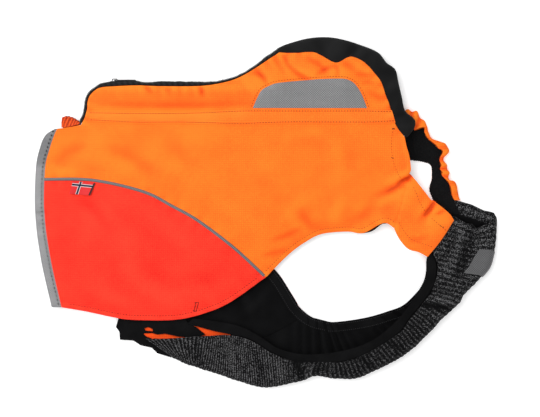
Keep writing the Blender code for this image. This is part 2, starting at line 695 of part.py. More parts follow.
def make_far_side(looks):
    """The lower side, which lies flat on the surface, with its lining and strap."""
    spine, collar = smooth(SPINE_EDGE), smooth(COLLAR_SEAM)
    piping = smooth(PIPING[:7] + FAR_PIPING_END[1:])
    hem, leg = smooth(FAR_HEM), smooth(FAR_LEG)
    split = FAR_PIPING_END[-1][1]
    layer = flat_layer(0.0, SHELL)

    red = outline(cut(TAPE_SEAM, PIPING[0][1], upper=False)[:-1], [TAPE_SEAM[-2], hem[0]], hem,
                  cut(leg, split, upper=False), piping[::-1], step=FLAT_STEP / 2)
    plate("flank_left", inset(red, SEAM / 2), layer, looks["red"])

    side = outline(piping, cut(leg, split, upper=True), FAR_NECK, collar[::-1], spine[::-1],
                   smooth(TAIL_TOP), cut(TAPE_SEAM, PIPING[0][1], upper=True), step=FLAT_STEP / 2)
    plate("side_left", inset(side, SEAM), layer, looks["orange"])

    tape = outline(TAIL_EDGE, [TAIL_EDGE[-1], TAPE_SEAM[-1]], TAPE_SEAM[::-1],
                   [TAPE_SEAM[0], TAIL_EDGE[0]], step=FLAT_STEP / 2)
    plate("tape_left", inset(tape, SEAM / 2), layer, looks["silver"])


def make_far_lining(looks):
    """The black lining and orange hem facing of the lower side, seen through the openings."""
    hem, leg = smooth(FAR_HEM), smooth(FAR_LEG)
    rear_hem, front_hem = hem[hem[:, 0] < FACING_END], hem[hem[:, 0] >= FACING_END]
    facing_edge = np.vstack([smooth(FACING_EDGE)[:-3], rear_hem[-1]])
    layer = flat_layer(FAR_LINING, LINING)
    facing = outline(rear_hem, facing_edge[::-1], [facing_edge[0], hem[0]], step=FLAT_STEP / 2)
    plate("facing_left", inset(facing, SEAM), layer, looks["orange"])

    tail = cut(TAIL_EDGE, facing_edge[0][1], upper=True)
    body = outline(tail, [tail[-1], facing_edge[0]], facing_edge, front_hem, leg,
                   FAR_NECK, smooth(COLLAR_SEAM)[::-1], smooth(SPINE_EDGE)[::-1],
                   smooth(TAIL_TOP), [TAPE_SEAM[0], tail[0]], step=FLAT_STEP / 2)
    plate("lining_left", inset(body, FAR_LINING_INSET), layer, looks["lining"])

    lower_leg = cut(leg, FAR_PIPING_END[-1][1], upper=False)[::-1]
    bib_edge = [row[4:6] for row in reversed(BIB[5:11])]
    line = smooth([tuple(point) for point in spaced(lower_leg, 16.0)] + bib_edge)
    near, away = beside(line, -1.0), beside(line, -FAR_BINDING_WIDTH)
    strip = outline(near, [near[-1], away[-1]], away[::-1], [away[0], near[0]], step=TRIM_STEP)
    plate("binding_left", strip, flat_layer(FAR_BINDING, LINING), looks["lining"])


def make_far_strap(looks):
    """The lower shoulder strap, whose outer edge is rolled up over its black lining."""
    rows = smooth([(row[4], row[5], *row) for row in FAR_STRAP], FAR_STRAP_SECTIONS)[:, 2:]
    outer, inner = [], []
    for row in rows:
        hole, bend, edge = (Vector((row[place], row[place + 1], 0)) for place in (0, 2, 4))
        path = [hole, hole.lerp(bend, 0.5)]
        for turn in [math.pi * share / 5 for share in range(6)]:
            path.append(bend + (edge - bend) * math.sin(turn)
                        + Vector((0, 0, ROLL_HEIGHT / 2 * (1 - math.cos(turn)))))
        side = Vector((0, 0, 1)).cross((edge - bend).normalized())
        outer.append(path)
        inner.append(moved(path, side, SHELL))
    wall("strap_left", outer, inner, looks["orange"])

    low, thick = Vector((0, 0, FAR_LINING)), Vector((0, 0, LINING))
    under = []
    for row in rows:
        hole, bend = Vector((row[0], row[1], 0)), Vector((row[2], row[3], 0))
        under.append([hole + low, hole.lerp(bend, 0.5) + low, hole.lerp(bend, 0.97) + low])
    wall("strap_lining_left", [[point + thick for point in row] for row in under], under,
         looks["lining"])


def make_belly_straps(looks):
    for name, shape in (("belly_strap_rear", BELLY_REAR), ("belly_strap_front", BELLY_FRONT)):
        line = smooth(shape)
        border = outline(line, [line[-1], line[0]], step=TRIM_STEP)
        plate(name, border, flat_layer(FAR_TOP + SEAM, BELLY_CLOTH), looks["lining"])


def prism(name, face, depth, material):
    """A solid from one flat face and the way it is drawn out."""
    piece = bmesh.new()
    start = [piece.verts.new(point) for point in face]
    end = [piece.verts.new(Vector(point) + Vector(depth)) for point in face]
    piece.faces.new(start)
    piece.faces.new(end[::-1])
    for index in range(len(face)):
        after = (index + 1) % len(face)
        piece.faces.new([start[index], end[index], end[after], start[after]])
    return finish(name, piece, material)


def combine(target, tool, operation):
    """Join a second solid to the first, or cut it out."""
    step = target.modifiers.new(tool.name, "BOOLEAN")
    step.operation = operation
    step.object = tool
    tool.hide_render = True
    tool.display_type = "WIRE"


def rounded(length, width, corner):
    """Outline of a bar along X with round corners, from its end back to its start."""
    points = []
    for centre_x, centre_z, start in ((length - corner, width / 2 - corner, 0),
                                      (corner, width / 2 - corner, 90),
                                      (corner, corner - width / 2, 180),
                                      (length - corner, corner - width / 2, 270)):
        for turn in (0, 30, 60, 90):
            angle = math.radians(start + turn)
            points.append((centre_x + corner * math.cos(angle),
                           centre_z + corner * math.sin(angle)))
    return points


def set_origin(made, point):
    """Puts an object's origin on its joint's axis, and leaves its shape where it is."""
    place = (point - Vector((*CENTRE, 0))) * MM
    made.data.transform(Matrix.Translation(-place))
    made.location = place


def make_zip_pull(looks):
    """The slider, stopped near the tail, and the pull that swings on its bridge."""
    fold = lookup(smooth(ZIP_FOLD)[10:], 0, 1)
    seam = lookup(smooth(SPINE_EDGE)[16:], 0, 1)
    back = fold(SLIDER_X) + SLIDER_GAP
    crest = (near_height(SLIDER_X, seam(SLIDER_X)) + SHELL_TOP) / 2
    face = back + SLIDER_DEPTH
    body = [(x + SLIDER_X - SLIDER_LENGTH / 2, back, z + crest)
            for x, z in rounded(SLIDER_LENGTH, SLIDER_WIDTH, SLIDER_CORNER)]
    slider = prism("zip_slider", body, (0, SLIDER_DEPTH, 0), looks["metal"])

    arch, span = [], BRIDGE_SPAN / 2
    rise = 2 * PIVOT_RISE + BRIDGE_BAR
    low = crest - BRIDGE_WIDTH / 2
    for reach, height in ((span, rise), (span - BRIDGE_BAR, rise - BRIDGE_BAR)):
        half = [(reach, -BRIDGE_ROOT), (reach, height - 1.0), (reach - 0.35, height - 0.3),
                (reach - 1.0, height)]
        line = half + [(-x, y) for x, y in reversed(half)]
        arch.append([(SLIDER_X + x, face + y, low) for x, y in line])
    bridge = prism("bridge", arch[0] + arch[1][::-1], (0, 0, BRIDGE_WIDTH), looks["metal"])
    combine(slider, bridge, "UNION")

    pivot = Vector((SLIDER_X, face + PIVOT_RISE, crest))
    start = pivot + Vector((-PULL_THICK / 2, -PULL_THICK / 2, 0))
    tab = [start + Vector((x, 0, z)) for x, z in rounded(PULL_LENGTH, PULL_WIDTH, PULL_CORNER)]
    pull = prism("zip_pull", tab, (0, PULL_THICK, 0), looks["metal"])
    near, half = PULL_THICK / 2, PULL_EYE_WIDTH / 2
    eye = [pivot + Vector((x, -PULL_THICK, z)) for x, z in (
        (near, -half), (near + PULL_EYE_LENGTH, -half), (near + PULL_EYE_LENGTH, half),
        (near, half))]
    combine(pull, prism("eye", eye, (0, 2 * PULL_THICK, 0), looks["metal"]), "DIFFERENCE")
    set_origin(pull, pivot)


def clear_scene():
    for item in list(bpy.data.objects):
        bpy.data.objects.remove(item, do_unlink=True)


clear_scene()
LOOKS = {
    "orange": look("orange_shell", ORANGE, 0.6),
    "red": look("red_shell", RED, 0.6),
    "silver": look("reflective", SILVER, 0.4),
    "dark_silver": look("dark_reflective", DARK_SILVER, 0.4),
    "lining": look("black_lining", BLACK, 0.7),
    "charcoal": look("collar_cloth", CHARCOAL, 0.8),
    "melange": look("melange_knit", MELANGE, 0.9),
    "metal": look("zip_metal", METAL, 0.35, 1.0),
    "navy": look("flag_label", NAVY, 0.7),
}
make_side(LOOKS)
make_trims(LOOKS)
make_collar(LOOKS)
make_edge(LOOKS)
make_bib(LOOKS)
make_bindings(LOOKS)
make_far_side(LOOKS)
make_far_lining(LOOKS)
make_far_strap(LOOKS)
make_belly_straps(LOOKS)
make_zip_pull(LOOKS)
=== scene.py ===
"""The looks of a dog's hunting vest, zipped up and laid on its left side on a pale floor.

The neck points to +X, the tail to -X, the spine zip to +Y and the belly to -Y. Tables and sizes
are in millimetres; a piece is scaled to metres and moved to the vest's own centre when its
points are set.
"""
import math

import bpy
import numpy as np
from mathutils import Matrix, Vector
from mathutils.kdtree import KDTree


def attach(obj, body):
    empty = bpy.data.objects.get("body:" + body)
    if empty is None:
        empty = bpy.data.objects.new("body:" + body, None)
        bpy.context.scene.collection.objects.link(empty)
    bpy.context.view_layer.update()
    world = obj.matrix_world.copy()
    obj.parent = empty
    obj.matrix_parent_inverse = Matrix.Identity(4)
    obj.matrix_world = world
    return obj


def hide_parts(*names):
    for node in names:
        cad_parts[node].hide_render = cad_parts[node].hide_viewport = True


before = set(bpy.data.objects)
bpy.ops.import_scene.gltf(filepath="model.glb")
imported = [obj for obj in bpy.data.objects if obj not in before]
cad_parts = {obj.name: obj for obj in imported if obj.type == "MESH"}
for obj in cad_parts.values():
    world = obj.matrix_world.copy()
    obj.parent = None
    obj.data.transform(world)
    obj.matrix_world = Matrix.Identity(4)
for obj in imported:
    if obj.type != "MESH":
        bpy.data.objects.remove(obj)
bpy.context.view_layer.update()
bpy.ops.object.select_all(action="DESELECT")

# The orange right side, one piece of ripstop from the chest band down to the piping and the
# leg hole. It lies over the left side on a space of air, with soft folds that run from the
# strap and the tail, and its hem round the leg hole is turned under and sewn.
MM = 0.001
CENTRE = np.array((-0.184, -0.496, 0.0))
HEM_HEIGHT = 7.0
BODY_HEIGHT = 21.0
STRAP_HEIGHT = 13.5
SPINE_DROP = 4.0
TAIL_SHARE = 0.35
HEM_REACH = 120.0
TAIL_REACH = 130.0
SPINE_REACH = 35.0
STRAP_START = (100.0, 80.0)
STRAP_REACH = 60.0
SHELL = 1.2
SHELL_TOP = 2.8            # top of the shell over the underside of the upper layers
FIELD_STEP = 1.5
LINE_STEP = 0.8
CLOTH_STEP = 2.2
SNAP = 0.35                # share of a cell within which a point moves onto the border
TURN_IN, TURN_REACH = 0.7, 1.6     # how far down and how far in a cut edge rolls
HEM_WIDTH, HEM_RISE = 6.8, 0.55
SMOOTH_ANGLE = math.radians(50)    # edges sharper than this stay sharp

TAIL = [(104, -264, -261), (96, -276, -264.5), (80, -283, -270), (54, -288, -276),
        (0, -289, -277), (-58, -282, -269.5), (-119, -269, -256.5)]
FLANK_HEM = [(-256.5, -119), (-226, -124), (-182, -133), (-150, -135), (-111, -134),
             (-77, -126), (-45, -112), (-1, -81)]
LEG_EDGE = [(-1, -81), (26, -54), (47, -38), (69, -27), (101, -24), (121, -26), (142, -15),
            (151, -14), (159, -20)]
STRAP_SEAM = [(178, 48), (169, 14), (159, -20)]
NECK_EDGE = [(178, 48), (180, 54), (178, 69), (174, 83), (172, 93)]
PIPING = [(-276.5, 41), (-231, 41), (-204, 38), (-172, 31), (-144, 22), (-118, 8), (-86, -10),
          (-42, -43), (-1, -81)]
TAIL_TOP = [(-231, 109), (-246, 106), (-261, 104)]
SPINE_EDGE = [(-231, 109), (-226, 120), (-223.5, 130), (-223, 138), (-219, 147), (-208, 155),
              (-188, 157), (-160, 158), (-133, 157), (-88, 157), (-61, 160), (-36, 167),
              (-13, 180), (2, 190), (16, 199)]
COLLAR_SEAM = [(16, 199), (34, 198), (57, 199), (68, 195), (86, 186), (100, 192), (108, 193),
               (122, 186), (135, 172), (143, 161), (147, 149), (153, 133), (160, 110), (172, 93)]
COLLAR_EDGE = [(13, 204.5), (25, 210), (50, 217), (74, 219), (95, 216), (115, 210), (139, 200),
               (150, 187), (161, 178), (165, 161), (169, 144), (173, 127), (183, 118),
               (186, 112), (184, 104), (176, 94)]
BAND = [(-221, 126, 113), (-166, 125, 110), (-112, 125, 110), (-71, 126, 109), (-31, 128, 108),
        (20, 128, 110), (88, 128, 110), (126, 128, 110), (153, 127, 111)]

# Creases of the upper cloth, columns start, end, sideways bow, height and half width. A trough
# has a height below zero.
CREASES = [
    (186, 36, 163, 4, 0, 3.5, 13), (222, -4, 196, -32, 0, 3.5, 13),
    (-18, 168, 20, 149, 0, 2.2, 15), (-22, 142, 4, 134, 0, 1.6, 14),
    (88, 182, 94, 150, 0, 2.0, 13), (-236, 88, -196, 66, 0, 2.4, 20),
    (-140, 66, -82, 34, 0, 2.2, 22), (-190, -30, -160, -66, 0, 2.0, 24),
    (-120, 96, -60, 90, 0, 1.8, 20), (20, -20, 90, 6, 0, 2.2, 22),
    (-262, 62, -228, 82, 3, -1.5, 9), (-272, 54, -236, 52, -3, 1.2, 9),
    (-205, 80, -143, 48, 6, -1.7, 11), (-128, 84, -96, 58, 4, -1.0, 12),
    (-208, 153, -20, 154, 2, 1.2, 5), (-212, 137, -6, 139, -2, -2.4, 11),
    (-206, 134, -10, 135, -2, -1.2, 5), (-152, 157, -142, 150, 0, -1.6, 3.4),
    (-131, 157, -122, 151, 0, -1.3, 3.0), (-84, 157, -80, 146, 1, -1.6, 3.4),
    (-26, 176, -2, 166, 1, -1.2, 4), (-18, 180, 2, 156, 3, -1.7, 4),
    (-34, 166, -10, 150, 0, 1.2, 7), (10, 192, 22, 172, 1, -1.0, 4),
    (20, 196, 26, 188, 0, -1.4, 3.2), (24, 186, 52, 166, -2, -2.0, 3.4),
    (30, 178, 66, 168, 1, 1.2, 5), (48, 192, 74, 176, 2, -1.3, 4),
    (85, 184, 88, 168, 2, -1.7, 3.6), (86, 182, 62, 170, -2, -1.4, 3.4),
    (90, 186, 110, 178, 1, -1.4, 5), (108, 184, 140, 160, 3, 1.0, 6),
    (112, 172, 134, 168, 1, -1.2, 4), (118, 162, 140, 160, 0, -0.9, 3.5),
    (126, 150, 146, 138, 1, -0.9, 5), (181, 47, 142, 22, 3, -2.6, 5.5),
    (184, 48.5, 164, 37, 1, -3.9, 2.1), (180, 54, 150, 38, 2, 1.6, 6),
    (168, 30, 128, 8, 3, 1.5, 8), (211, 15, 192, -9, 1, -2.2, 4.6),
    (209, 11, 198, -3, 1, -2.8, 2.1), (223, 3, 206, -3, 1, -1.6, 2.6),
    (214, 6, 203, -14, 0, 1.2, 4), (200, -30, 178, -34, 2, -1.0, 4),
    (228, -12, 208, -8, 0, 0.9, 4), (136, 16, 104, -14, 4, -2.0, 9),
    (98, 18, 84, -18, -3, 1.6, 10), (40, 3, 64, -20, -3, -1.8, 8),
    (9, -34, 42, -20, -1, -1.3, 4), (-3, -54, 28, -48, 1, -1.1, 4),
    (60, 20, 20, -10, -4, 1.2, 10), (-158, -52, -118, -88, -8, -2.2, 15),
    (-120, -90, -52, -70, -6, -1.8, 14), (-234, 16, -198, -16, 3, -1.4, 9),
    (-222, -40, -200, 6, 8, 1.4, 18), (-90, -40, -128, -22, 4, 1.3, 16),
    (-226, -92, -176, -112, -4, 1.2, 13), (-292, -2, -276, 0, 0, -1.6, 3.5),
    (-290, -16, -276, -12, 0, -1.0, 4), (96, 88, 104, 52, 3, -0.9, 10),
    (20, 92, 70, 100, 2, 0.8, 9), (-30, 60, 30, 30, 5, 1.2, 18),
]


def spaced(rows, step):
    """Points a step apart along a line of points."""
    rows = np.array(rows, dtype=float)
    runs = np.linalg.norm(np.diff(rows[:, :2], axis=0), axis=1)
    travelled = np.concatenate([[0], np.cumsum(runs)])
    count = step if isinstance(step, int) else max(2, int(round(travelled[-1] / step)) + 1)
    places = np.linspace(0, travelled[-1], count)
    return np.column_stack([np.interp(places, travelled, column) for column in rows.T])


def smooth(points, step=LINE_STEP):
    """Points on a smooth open curve through the given points."""
    rows = [np.array(point, dtype=float) for point in points]
    ends = [2 * rows[0] - rows[1]] + rows + [2 * rows[-1] - rows[-2]]
    dense = [rows[0]]
    for before, start, stop, after in zip(ends, ends[1:], ends[2:], ends[3:]):
        for share in (np.arange(12) + 1) / 12:
            dense.append(0.5 * (2 * start + (stop - before) * share
                                + (2 * before - 5 * start + 4 * stop - after) * share ** 2
                                + (3 * start - before - 3 * stop + after) * share ** 3))
    return spaced(dense, step)


def cut(line, y, upper):
    """The part of a line above or below a height y, with its new end on it."""
    rows, kept = np.array(line), []
    for start, stop in zip(rows, rows[1:]):
        if (start[1] >= y) == upper:
            kept.append(start)
        if (start[1] >= y) != (stop[1] >= y):
            kept.append(start + (stop - start) * (y - start[1]) / (stop[1] - start[1]))
    if (rows[-1][1] >= y) == upper:
        kept.append(rows[-1])
    return np.array(kept)


def outline(*edges):
    """A closed border from lines that follow on each other."""
    return np.vstack([spaced(edge, LINE_STEP)[:-1] for edge in edges])


def ease(value):
    """Rises from nothing to one and flattens out."""
    return 1 - (1 - np.clip(value, 0, 1)) ** 2


def blend(value):
    """Rises from nothing to one, flat at both ends."""
    value = np.clip(value, 0, 1)
    return value * value * (3 - 2 * value)


def lookup(line, key, value, places):
    """One column of a line, read at places along another."""
    order = np.argsort(line[:, key], kind="stable")
    return np.interp(places, line[order, key], line[order, value])


def nearest(line, x, y):
    """How far each place is from a line, and how far along the line its nearest point lies."""
    away = np.full(x.shape, np.inf)
    along = np.zeros(x.shape)
    for index, point in enumerate(spaced(line, FIELD_STEP)):
        distance = np.hypot(x - point[0], y - point[1])
        closer = distance < away
        away[closer] = distance[closer]
        along[closer] = index * FIELD_STEP
    return away, along


tail_edge = smooth([(outer, y) for y, outer, _ in TAIL])
tape_seam = smooth([(inner, y) for y, _, inner in TAIL])
spine, neck, tail_top = smooth(SPINE_EDGE), smooth(NECK_EDGE), smooth(TAIL_TOP)
collar_seam, piping, leg, hem = (smooth(line) for line in (COLLAR_SEAM, PIPING, LEG_EDGE,
                                                           FLANK_HEM))
spine_line = np.vstack([spine, smooth(COLLAR_EDGE[:12])])
lower_edge = np.vstack([hem, leg])
field_x, field_y = np.meshgrid(np.arange(-303, 303, FIELD_STEP), np.arange(-231, 231, FIELD_STEP))

# Height of the underside of the upper layers over the floor, as a field of values in even rows.
tail_rise = TAIL_SHARE + (1 - TAIL_SHARE) * ease(
    (field_x - lookup(tail_edge, 1, 0, field_y)) / TAIL_REACH)
hem_rise = ease((field_y - lookup(lower_edge, 0, 1, field_x)) / HEM_REACH)
spine_near = np.clip(1 - nearest(spine_line, field_x, field_y)[0] / SPINE_REACH, 0, 1) ** 2
height = (HEM_HEIGHT + (BODY_HEIGHT - HEM_HEIGHT) * hem_rise * tail_rise
          - SPINE_DROP * tail_rise * spine_near)
strap_share = (blend((field_x - STRAP_START[0]) / STRAP_REACH)
               * blend((STRAP_START[1] - field_y) / STRAP_REACH))
height += (STRAP_HEIGHT - height) * strap_share
slope_y, slope_x = np.gradient(height, FIELD_STEP)


def crease(x, y, x0, y0, x1, y1, bow, rise, width):
    """How far one crease lifts the cloth at places x, y, most at its middle."""
    share = np.linspace(0, 1, max(9, int(2.4 * math.hypot(x1 - x0, y1 - y0) / width)))
    arch = bow * np.sin(math.pi * share)
    run = np.array((x1 - x0, y1 - y0)) / math.hypot(x1 - x0, y1 - y0)
    path = np.column_stack([x0 + (x1 - x0) * share - run[1] * arch,
                            y0 + (y1 - y0) * share + run[0] * arch])
    strength = np.zeros(x.shape)
    for place, taper in zip(path, np.sin(math.pi * (0.08 + 0.84 * share)) ** 0.8):
        apart = (x - place[0]) ** 2 + (y - place[1]) ** 2
        strength = np.maximum(strength, taper * np.exp(-apart / width ** 2))
    return rise * strength


# How far creases, seams and hems lift the outer cloth over that.
lift = 0.22 * np.sin(field_x / 9.1 + np.sin(field_y / 17) * 1.7) * np.sin(field_y / 12.3 + 1.1)
lift += 0.30 * np.sin(field_x / 21 + field_y / 34 + 0.6) * np.sin(field_y / 27 - field_x / 61)
for row in CREASES:
    lift += crease(field_x, field_y, *row)


def pucker(line, rise, reach, wave):
    """Small gathers that a seam pulls into the cloth beside it."""
    away, along = nearest(line, field_x, field_y)
    waves = np.sin(along * 2 * math.pi / wave + 1.3 * np.sin(along / (2.7 * wave)))
    waves *= 0.55 + 0.45 * np.sin(along / (1.9 * wave) + 2.0)
    return rise * waves * np.exp(-(away / reach) ** 1.5)


def turned(line, width=HEM_WIDTH, rise=HEM_RISE):
    """The step where a hem is folded double."""
    away, _ = nearest(line, field_x, field_y)
    return rise * (1 - blend((away - width + 1.2) / 1.8))


# Seams that gather the cloth: line, rise, reach and the length of one gather.
GATHERED = [(spine, 0.75, 8, 13), (collar_seam, 0.55, 9, 15), (piping, 0.4, 8, 17),
            (hem, 0.3, 9, 19), (leg, 0.45, 9, 16), (STRAP_SEAM, 0.6, 9, 11)]
for row in GATHERED:
    lift += pucker(*row)
for row in ((leg,), (hem,), (NECK_EDGE, 5.5), (spine, 2.5, 0.4)):
    lift += turned(*row)


def hollows(field, cells=5, deep=1.3):
    """How far a field lies below its own surroundings, as a share of a deep fold."""
    blurred = field
    for axis in (0, 1, 0, 1):
        padded = np.concatenate([np.repeat(blurred.take([0], axis), cells, axis), blurred,
                                 np.repeat(blurred.take([-1], axis), cells, axis)], axis)
        total = np.cumsum(padded, axis=axis)
        size = blurred.shape[axis]
        blurred = (total.take(range(2 * cells, 2 * cells + size), axis)
                   - total.take(range(0, size), axis)) / (2 * cells)
    return (blurred - field) / deep


# How deep each place lies in the upper cloth's folds, the mask for the finishes' painted shade in
# folds and painted light on ridges.
hollow = hollows(lift)


def sample(field, places):
    """A field's value at places, between its rows."""
    column = (places[:, 0] - field_x[0, 0]) / FIELD_STEP
    row = (places[:, 1] - field_y[0, 0]) / FIELD_STEP
    left = np.clip(column.astype(int), 0, field.shape[1] - 2)
    below = np.clip(row.astype(int), 0, field.shape[0] - 2)
    across, up = column - left, row - below
    return ((field[below, left] * (1 - across) + field[below, left + 1] * across) * (1 - up)
            + (field[below + 1, left] * (1 - across) + field[below + 1, left + 1] * across) * up)


def over(places, rise, folded=1.0):
    """Points over the upper layers' underside, measured square to the cloth."""
    places = np.array(places, dtype=float)[:, :2]
    square = np.column_stack([-sample(slope_x, places), -sample(slope_y, places),
                              np.ones(len(places))])
    square /= np.linalg.norm(square, axis=1)[:, None]
    base = np.column_stack([places, sample(height, places)])
    return base + square * (rise + folded * sample(lift, places))[:, None]


def set_points(piece, points, fold=None):
    """Puts a piece's points at places given in the tables' millimetres, and keeps how deep in
    a fold each of them lies, from -1 on a ridge to 1 in a trough, as the mask for painted shade
    in folds and painted light on ridges."""
    piece.data.vertices.foreach_set("co", ((points - CENTRE) * MM).ravel())
    if fold is not None:
        depth = piece.data.attributes.new("fold", "FLOAT", "POINT")
        depth.data.foreach_set("value", np.clip(fold, -1, 1).astype(np.float32).ravel())
    piece.data.update()


def new_grid(name, columns, rows):
    """A grid primitive, and the column and row of each of its points."""
    bpy.ops.object.select_all(action="DESELECT")
    bpy.ops.mesh.primitive_grid_add(x_subdivisions=columns, y_subdivisions=rows, size=1)
    piece = bpy.context.object
    piece.name = piece.data.name = name
    flat = np.empty(len(piece.data.vertices) * 3)
    piece.data.vertices.foreach_get("co", flat)
    flat = flat.reshape(-1, 3)[:, :2] + 0.5
    return piece, flat


def inside(places, border):
    """Which places lie within a closed border."""
    found = np.zeros(len(places), dtype=bool)
    for (x0, y0), (x1, y1) in zip(border, np.roll(border, -1, axis=0)):
        if y0 != y1:
            crosses = (y0 > places[:, 1]) != (y1 > places[:, 1])
            found ^= crosses & (places[:, 0] < (x1 - x0) * (places[:, 1] - y0) / (y1 - y0) + x0)
    return found


def border_tree(border):
    """A tree that finds the border's point nearest to a place."""
    tree = KDTree(len(border))
    for index, (x, y) in enumerate(border):
        tree.insert((x, y, 0), index)
    tree.balance()
    return tree


def cut_cloth(name, border, step):
    """A piece cut from a fine grid of cloth, and its points: those near the border move onto
    it, and those outside are deleted."""
    low, high = border.min(axis=0), border.max(axis=0)
    piece, shares = new_grid(name, *(math.ceil(side / step) for side in high - low))
    places = low + shares * (high - low)
    tree = border_tree(border)
    found = [tree.find((x, y, 0)) for x, y in places]
    edge = np.array([border[index] for _, index, _ in found])
    away = np.array([distance for _, _, distance in found])
    deep = inside(places, border) & (away > SNAP * step)
    corners = np.array([face.vertices[:] for face in piece.data.polygons])
    kept = np.zeros(len(places), dtype=bool)
    kept[corners[deep[corners].any(axis=1)].ravel()] = True
    places = np.where(deep[:, None], places, edge)

    bpy.ops.object.mode_set(mode="EDIT")
    bpy.ops.mesh.select_mode(type="VERT")
    bpy.ops.mesh.select_all(action="DESELECT")
    bpy.ops.object.mode_set(mode="OBJECT")
    piece.data.vertices.foreach_set("select", ~kept)
    bpy.ops.object.mode_set(mode="EDIT")
    bpy.ops.mesh.delete(type="VERT")
    bpy.ops.object.mode_set(mode="OBJECT")
    places = places[kept]
    set_points(piece, np.column_stack([places, np.zeros(len(places))]))
    bpy.ops.object.mode_set(mode="EDIT")
    bpy.ops.mesh.select_all(action="SELECT")
    bpy.ops.mesh.remove_doubles(threshold=0.1 * MM)
    bpy.ops.object.mode_set(mode="OBJECT")
    return piece, points_of(piece)


def points_of(piece):
    """A piece's points in the tables' millimetres."""
    flat = np.empty(len(piece.data.vertices) * 3)
    piece.data.vertices.foreach_get("co", flat)
    return flat.reshape(-1, 3) / MM + CENTRE


def rolled(places, border, amount, reach):
    """How far the cloth rolls down towards its own cut edge."""
    tree = border_tree(border)
    away = np.array([tree.find((x, y, 0))[2] for x, y in places[:, :2]])
    return amount * np.exp(-(away / reach) ** 2)


def thicken(piece, thickness):
    """Gives a sheet its thickness, inwards from its outer side."""
    bpy.context.view_layer.objects.active = piece
    wall = piece.modifiers.new("thickness", "SOLIDIFY")
    wall.thickness = thickness * MM
    wall.offset = -1
    bpy.ops.object.modifier_apply(modifier=wall.name)
    for vertex in piece.data.vertices:
        vertex.co.z = max(vertex.co.z, 0.0)
    bpy.ops.object.select_all(action="DESELECT")
    piece.select_set(True)
    bpy.ops.object.shade_smooth_by_angle(angle=SMOOTH_ANGLE)


def dress(piece, finish, slot, *nodes):
    """Gives a piece its finish and its place among the vest's bodies and nodes."""
    piece.data.materials.clear()
    piece.data.materials.append(finish)
    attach(piece, "vest")
    if nodes:
        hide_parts(*nodes)


def cut_size(border):
    """Width, length and area of a flat cut, in metres."""
    ahead = np.roll(border, -1, axis=0)
    area = abs(np.sum(border[:, 0] * ahead[:, 1] - ahead[:, 0] * border[:, 1])) / 2
    width, length = sorted((border.max(axis=0) - border.min(axis=0)) * MM)
    return (float(width), float(length)), float(area * MM * MM)


class Value:
    """A socket of a material, whose arithmetic adds Math nodes."""

    def __init__(self, finish, socket):
        self.finish, self.socket = finish, socket

    def math(self, operation, *others):
        """What one Math node makes of the value and the others."""
        inputs = dict(enumerate((self, *others)))
        return self.finish.node("ShaderNodeMath", {"operation": operation}, inputs)

    def __add__(self, other):
        return self.math("ADD", other)

    def __sub__(self, other):
        return self.math("SUBTRACT", other)

    def __rsub__(self, other):
        return self.math("MULTIPLY_ADD", -1.0, other)

    def __mul__(self, other):
        return self.math("MULTIPLY", other)

    def __truediv__(self, other):
        return self.math("DIVIDE", other)

    def __rtruediv__(self, other):
        return self.finish.node("ShaderNodeMath", {"operation": "DIVIDE"}, {0: other, 1: self})

    __radd__ = __add__
    __rmul__ = __mul__

    def clamped(self):
        """The value, kept between nothing and one."""
        return self.math("MAXIMUM", 0.0).math("MINIMUM", 1.0)

    def near(self, places, width):
        """One at each of some evenly spaced lines, and nothing between them."""
        apart = (self / places).math("FRACT").math("SUBTRACT", 0.5).math("ABSOLUTE")
        return (0.5 * width / places - apart).math("GREATER_THAN", 0.0)


class Finish:
    """A material in the making."""

    def __init__(self, name, roughness, metallic=0.0, sheen=0.0, gloss=0.15):
        self.material = bpy.data.materials.new(name)
        self.material.use_nodes = True
        self.tree = self.material.node_tree
        self.shader = self.tree.nodes["Principled BSDF"]
        self.shader.inputs["Roughness"].default_value = roughness
        self.shader.inputs["Metallic"].default_value = metallic
        self.shader.inputs["Sheen Weight"].default_value = sheen
        self.shader.inputs["Specular IOR Level"].default_value = gloss

    def node(self, kind, settings=None, inputs=None, output=0):
        """One of a new node's outputs. Its inputs are linked or set to numbers."""
        made = self.tree.nodes.new(kind)
        for key, value in (settings or {}).items():
            setattr(made, key, value)
        for key, value in (inputs or {}).items():
            if isinstance(value, Value):
                self.tree.links.new(value.socket, made.inputs[key])
            else:
                made.inputs[key].default_value = value
        return Value(self, made.outputs[output])

    def place(self, output="Object"):
        """The piece's own coordinates in millimetres, as x, y and z."""
        found = self.node("ShaderNodeTexCoord", output=output)
        scaled = self.node("ShaderNodeVectorMath", {"operation": "SCALE"},
                           {0: found, "Scale": 1 / MM if output == "Object" else 1.0})
        return scaled, *(self.node("ShaderNodeSeparateXYZ", None, {0: scaled}, axis)
                         for axis in range(3))

    def fold(self):
        """How deep in a fold the surface lies: the mask for painted shade in folds and painted
        light on ridges.
        """
        return self.node("ShaderNodeAttribute", {"attribute_name": "fold"}, output=2)

    def noise(self, vector, size, detail=2.0, roughness=0.5):
        """Noise with patches about this many millimetres across."""
        return self.node("ShaderNodeTexNoise", None,
                         {"Vector": vector, "Scale": 1.0 / size, "Detail": detail,
                          "Roughness": roughness})

    def mix(self, share, first, second):
        """A colour between two colours."""
        return self.node("ShaderNodeMix", {"data_type": "RGBA"},
                         {0: share, 6: first if isinstance(first, Value) else (*first, 1),
                          7: second if isinstance(second, Value) else (*second, 1)}, 2)

    def stretched(self, vector, x, y):
        """A vector scaled by its own amount along x and y."""
        return self.node("ShaderNodeVectorMath", {"operation": "MULTIPLY"},
                         {0: vector, 1: (x, y, 1.0)})

    def wear(self, colour, bump=None, distance=0.2):
        """Links the colour, and a bump some millimetres high, to the shader."""
        self.tree.links.new(colour.socket, self.shader.inputs["Base Color"])
        if bump is not None:
            relief = self.node("ShaderNodeBump", None,
                               {"Height": bump, "Distance": distance * MM, "Strength": 1.0})
            self.tree.links.new(relief.socket, self.shader.inputs["Normal"])
        return self.material


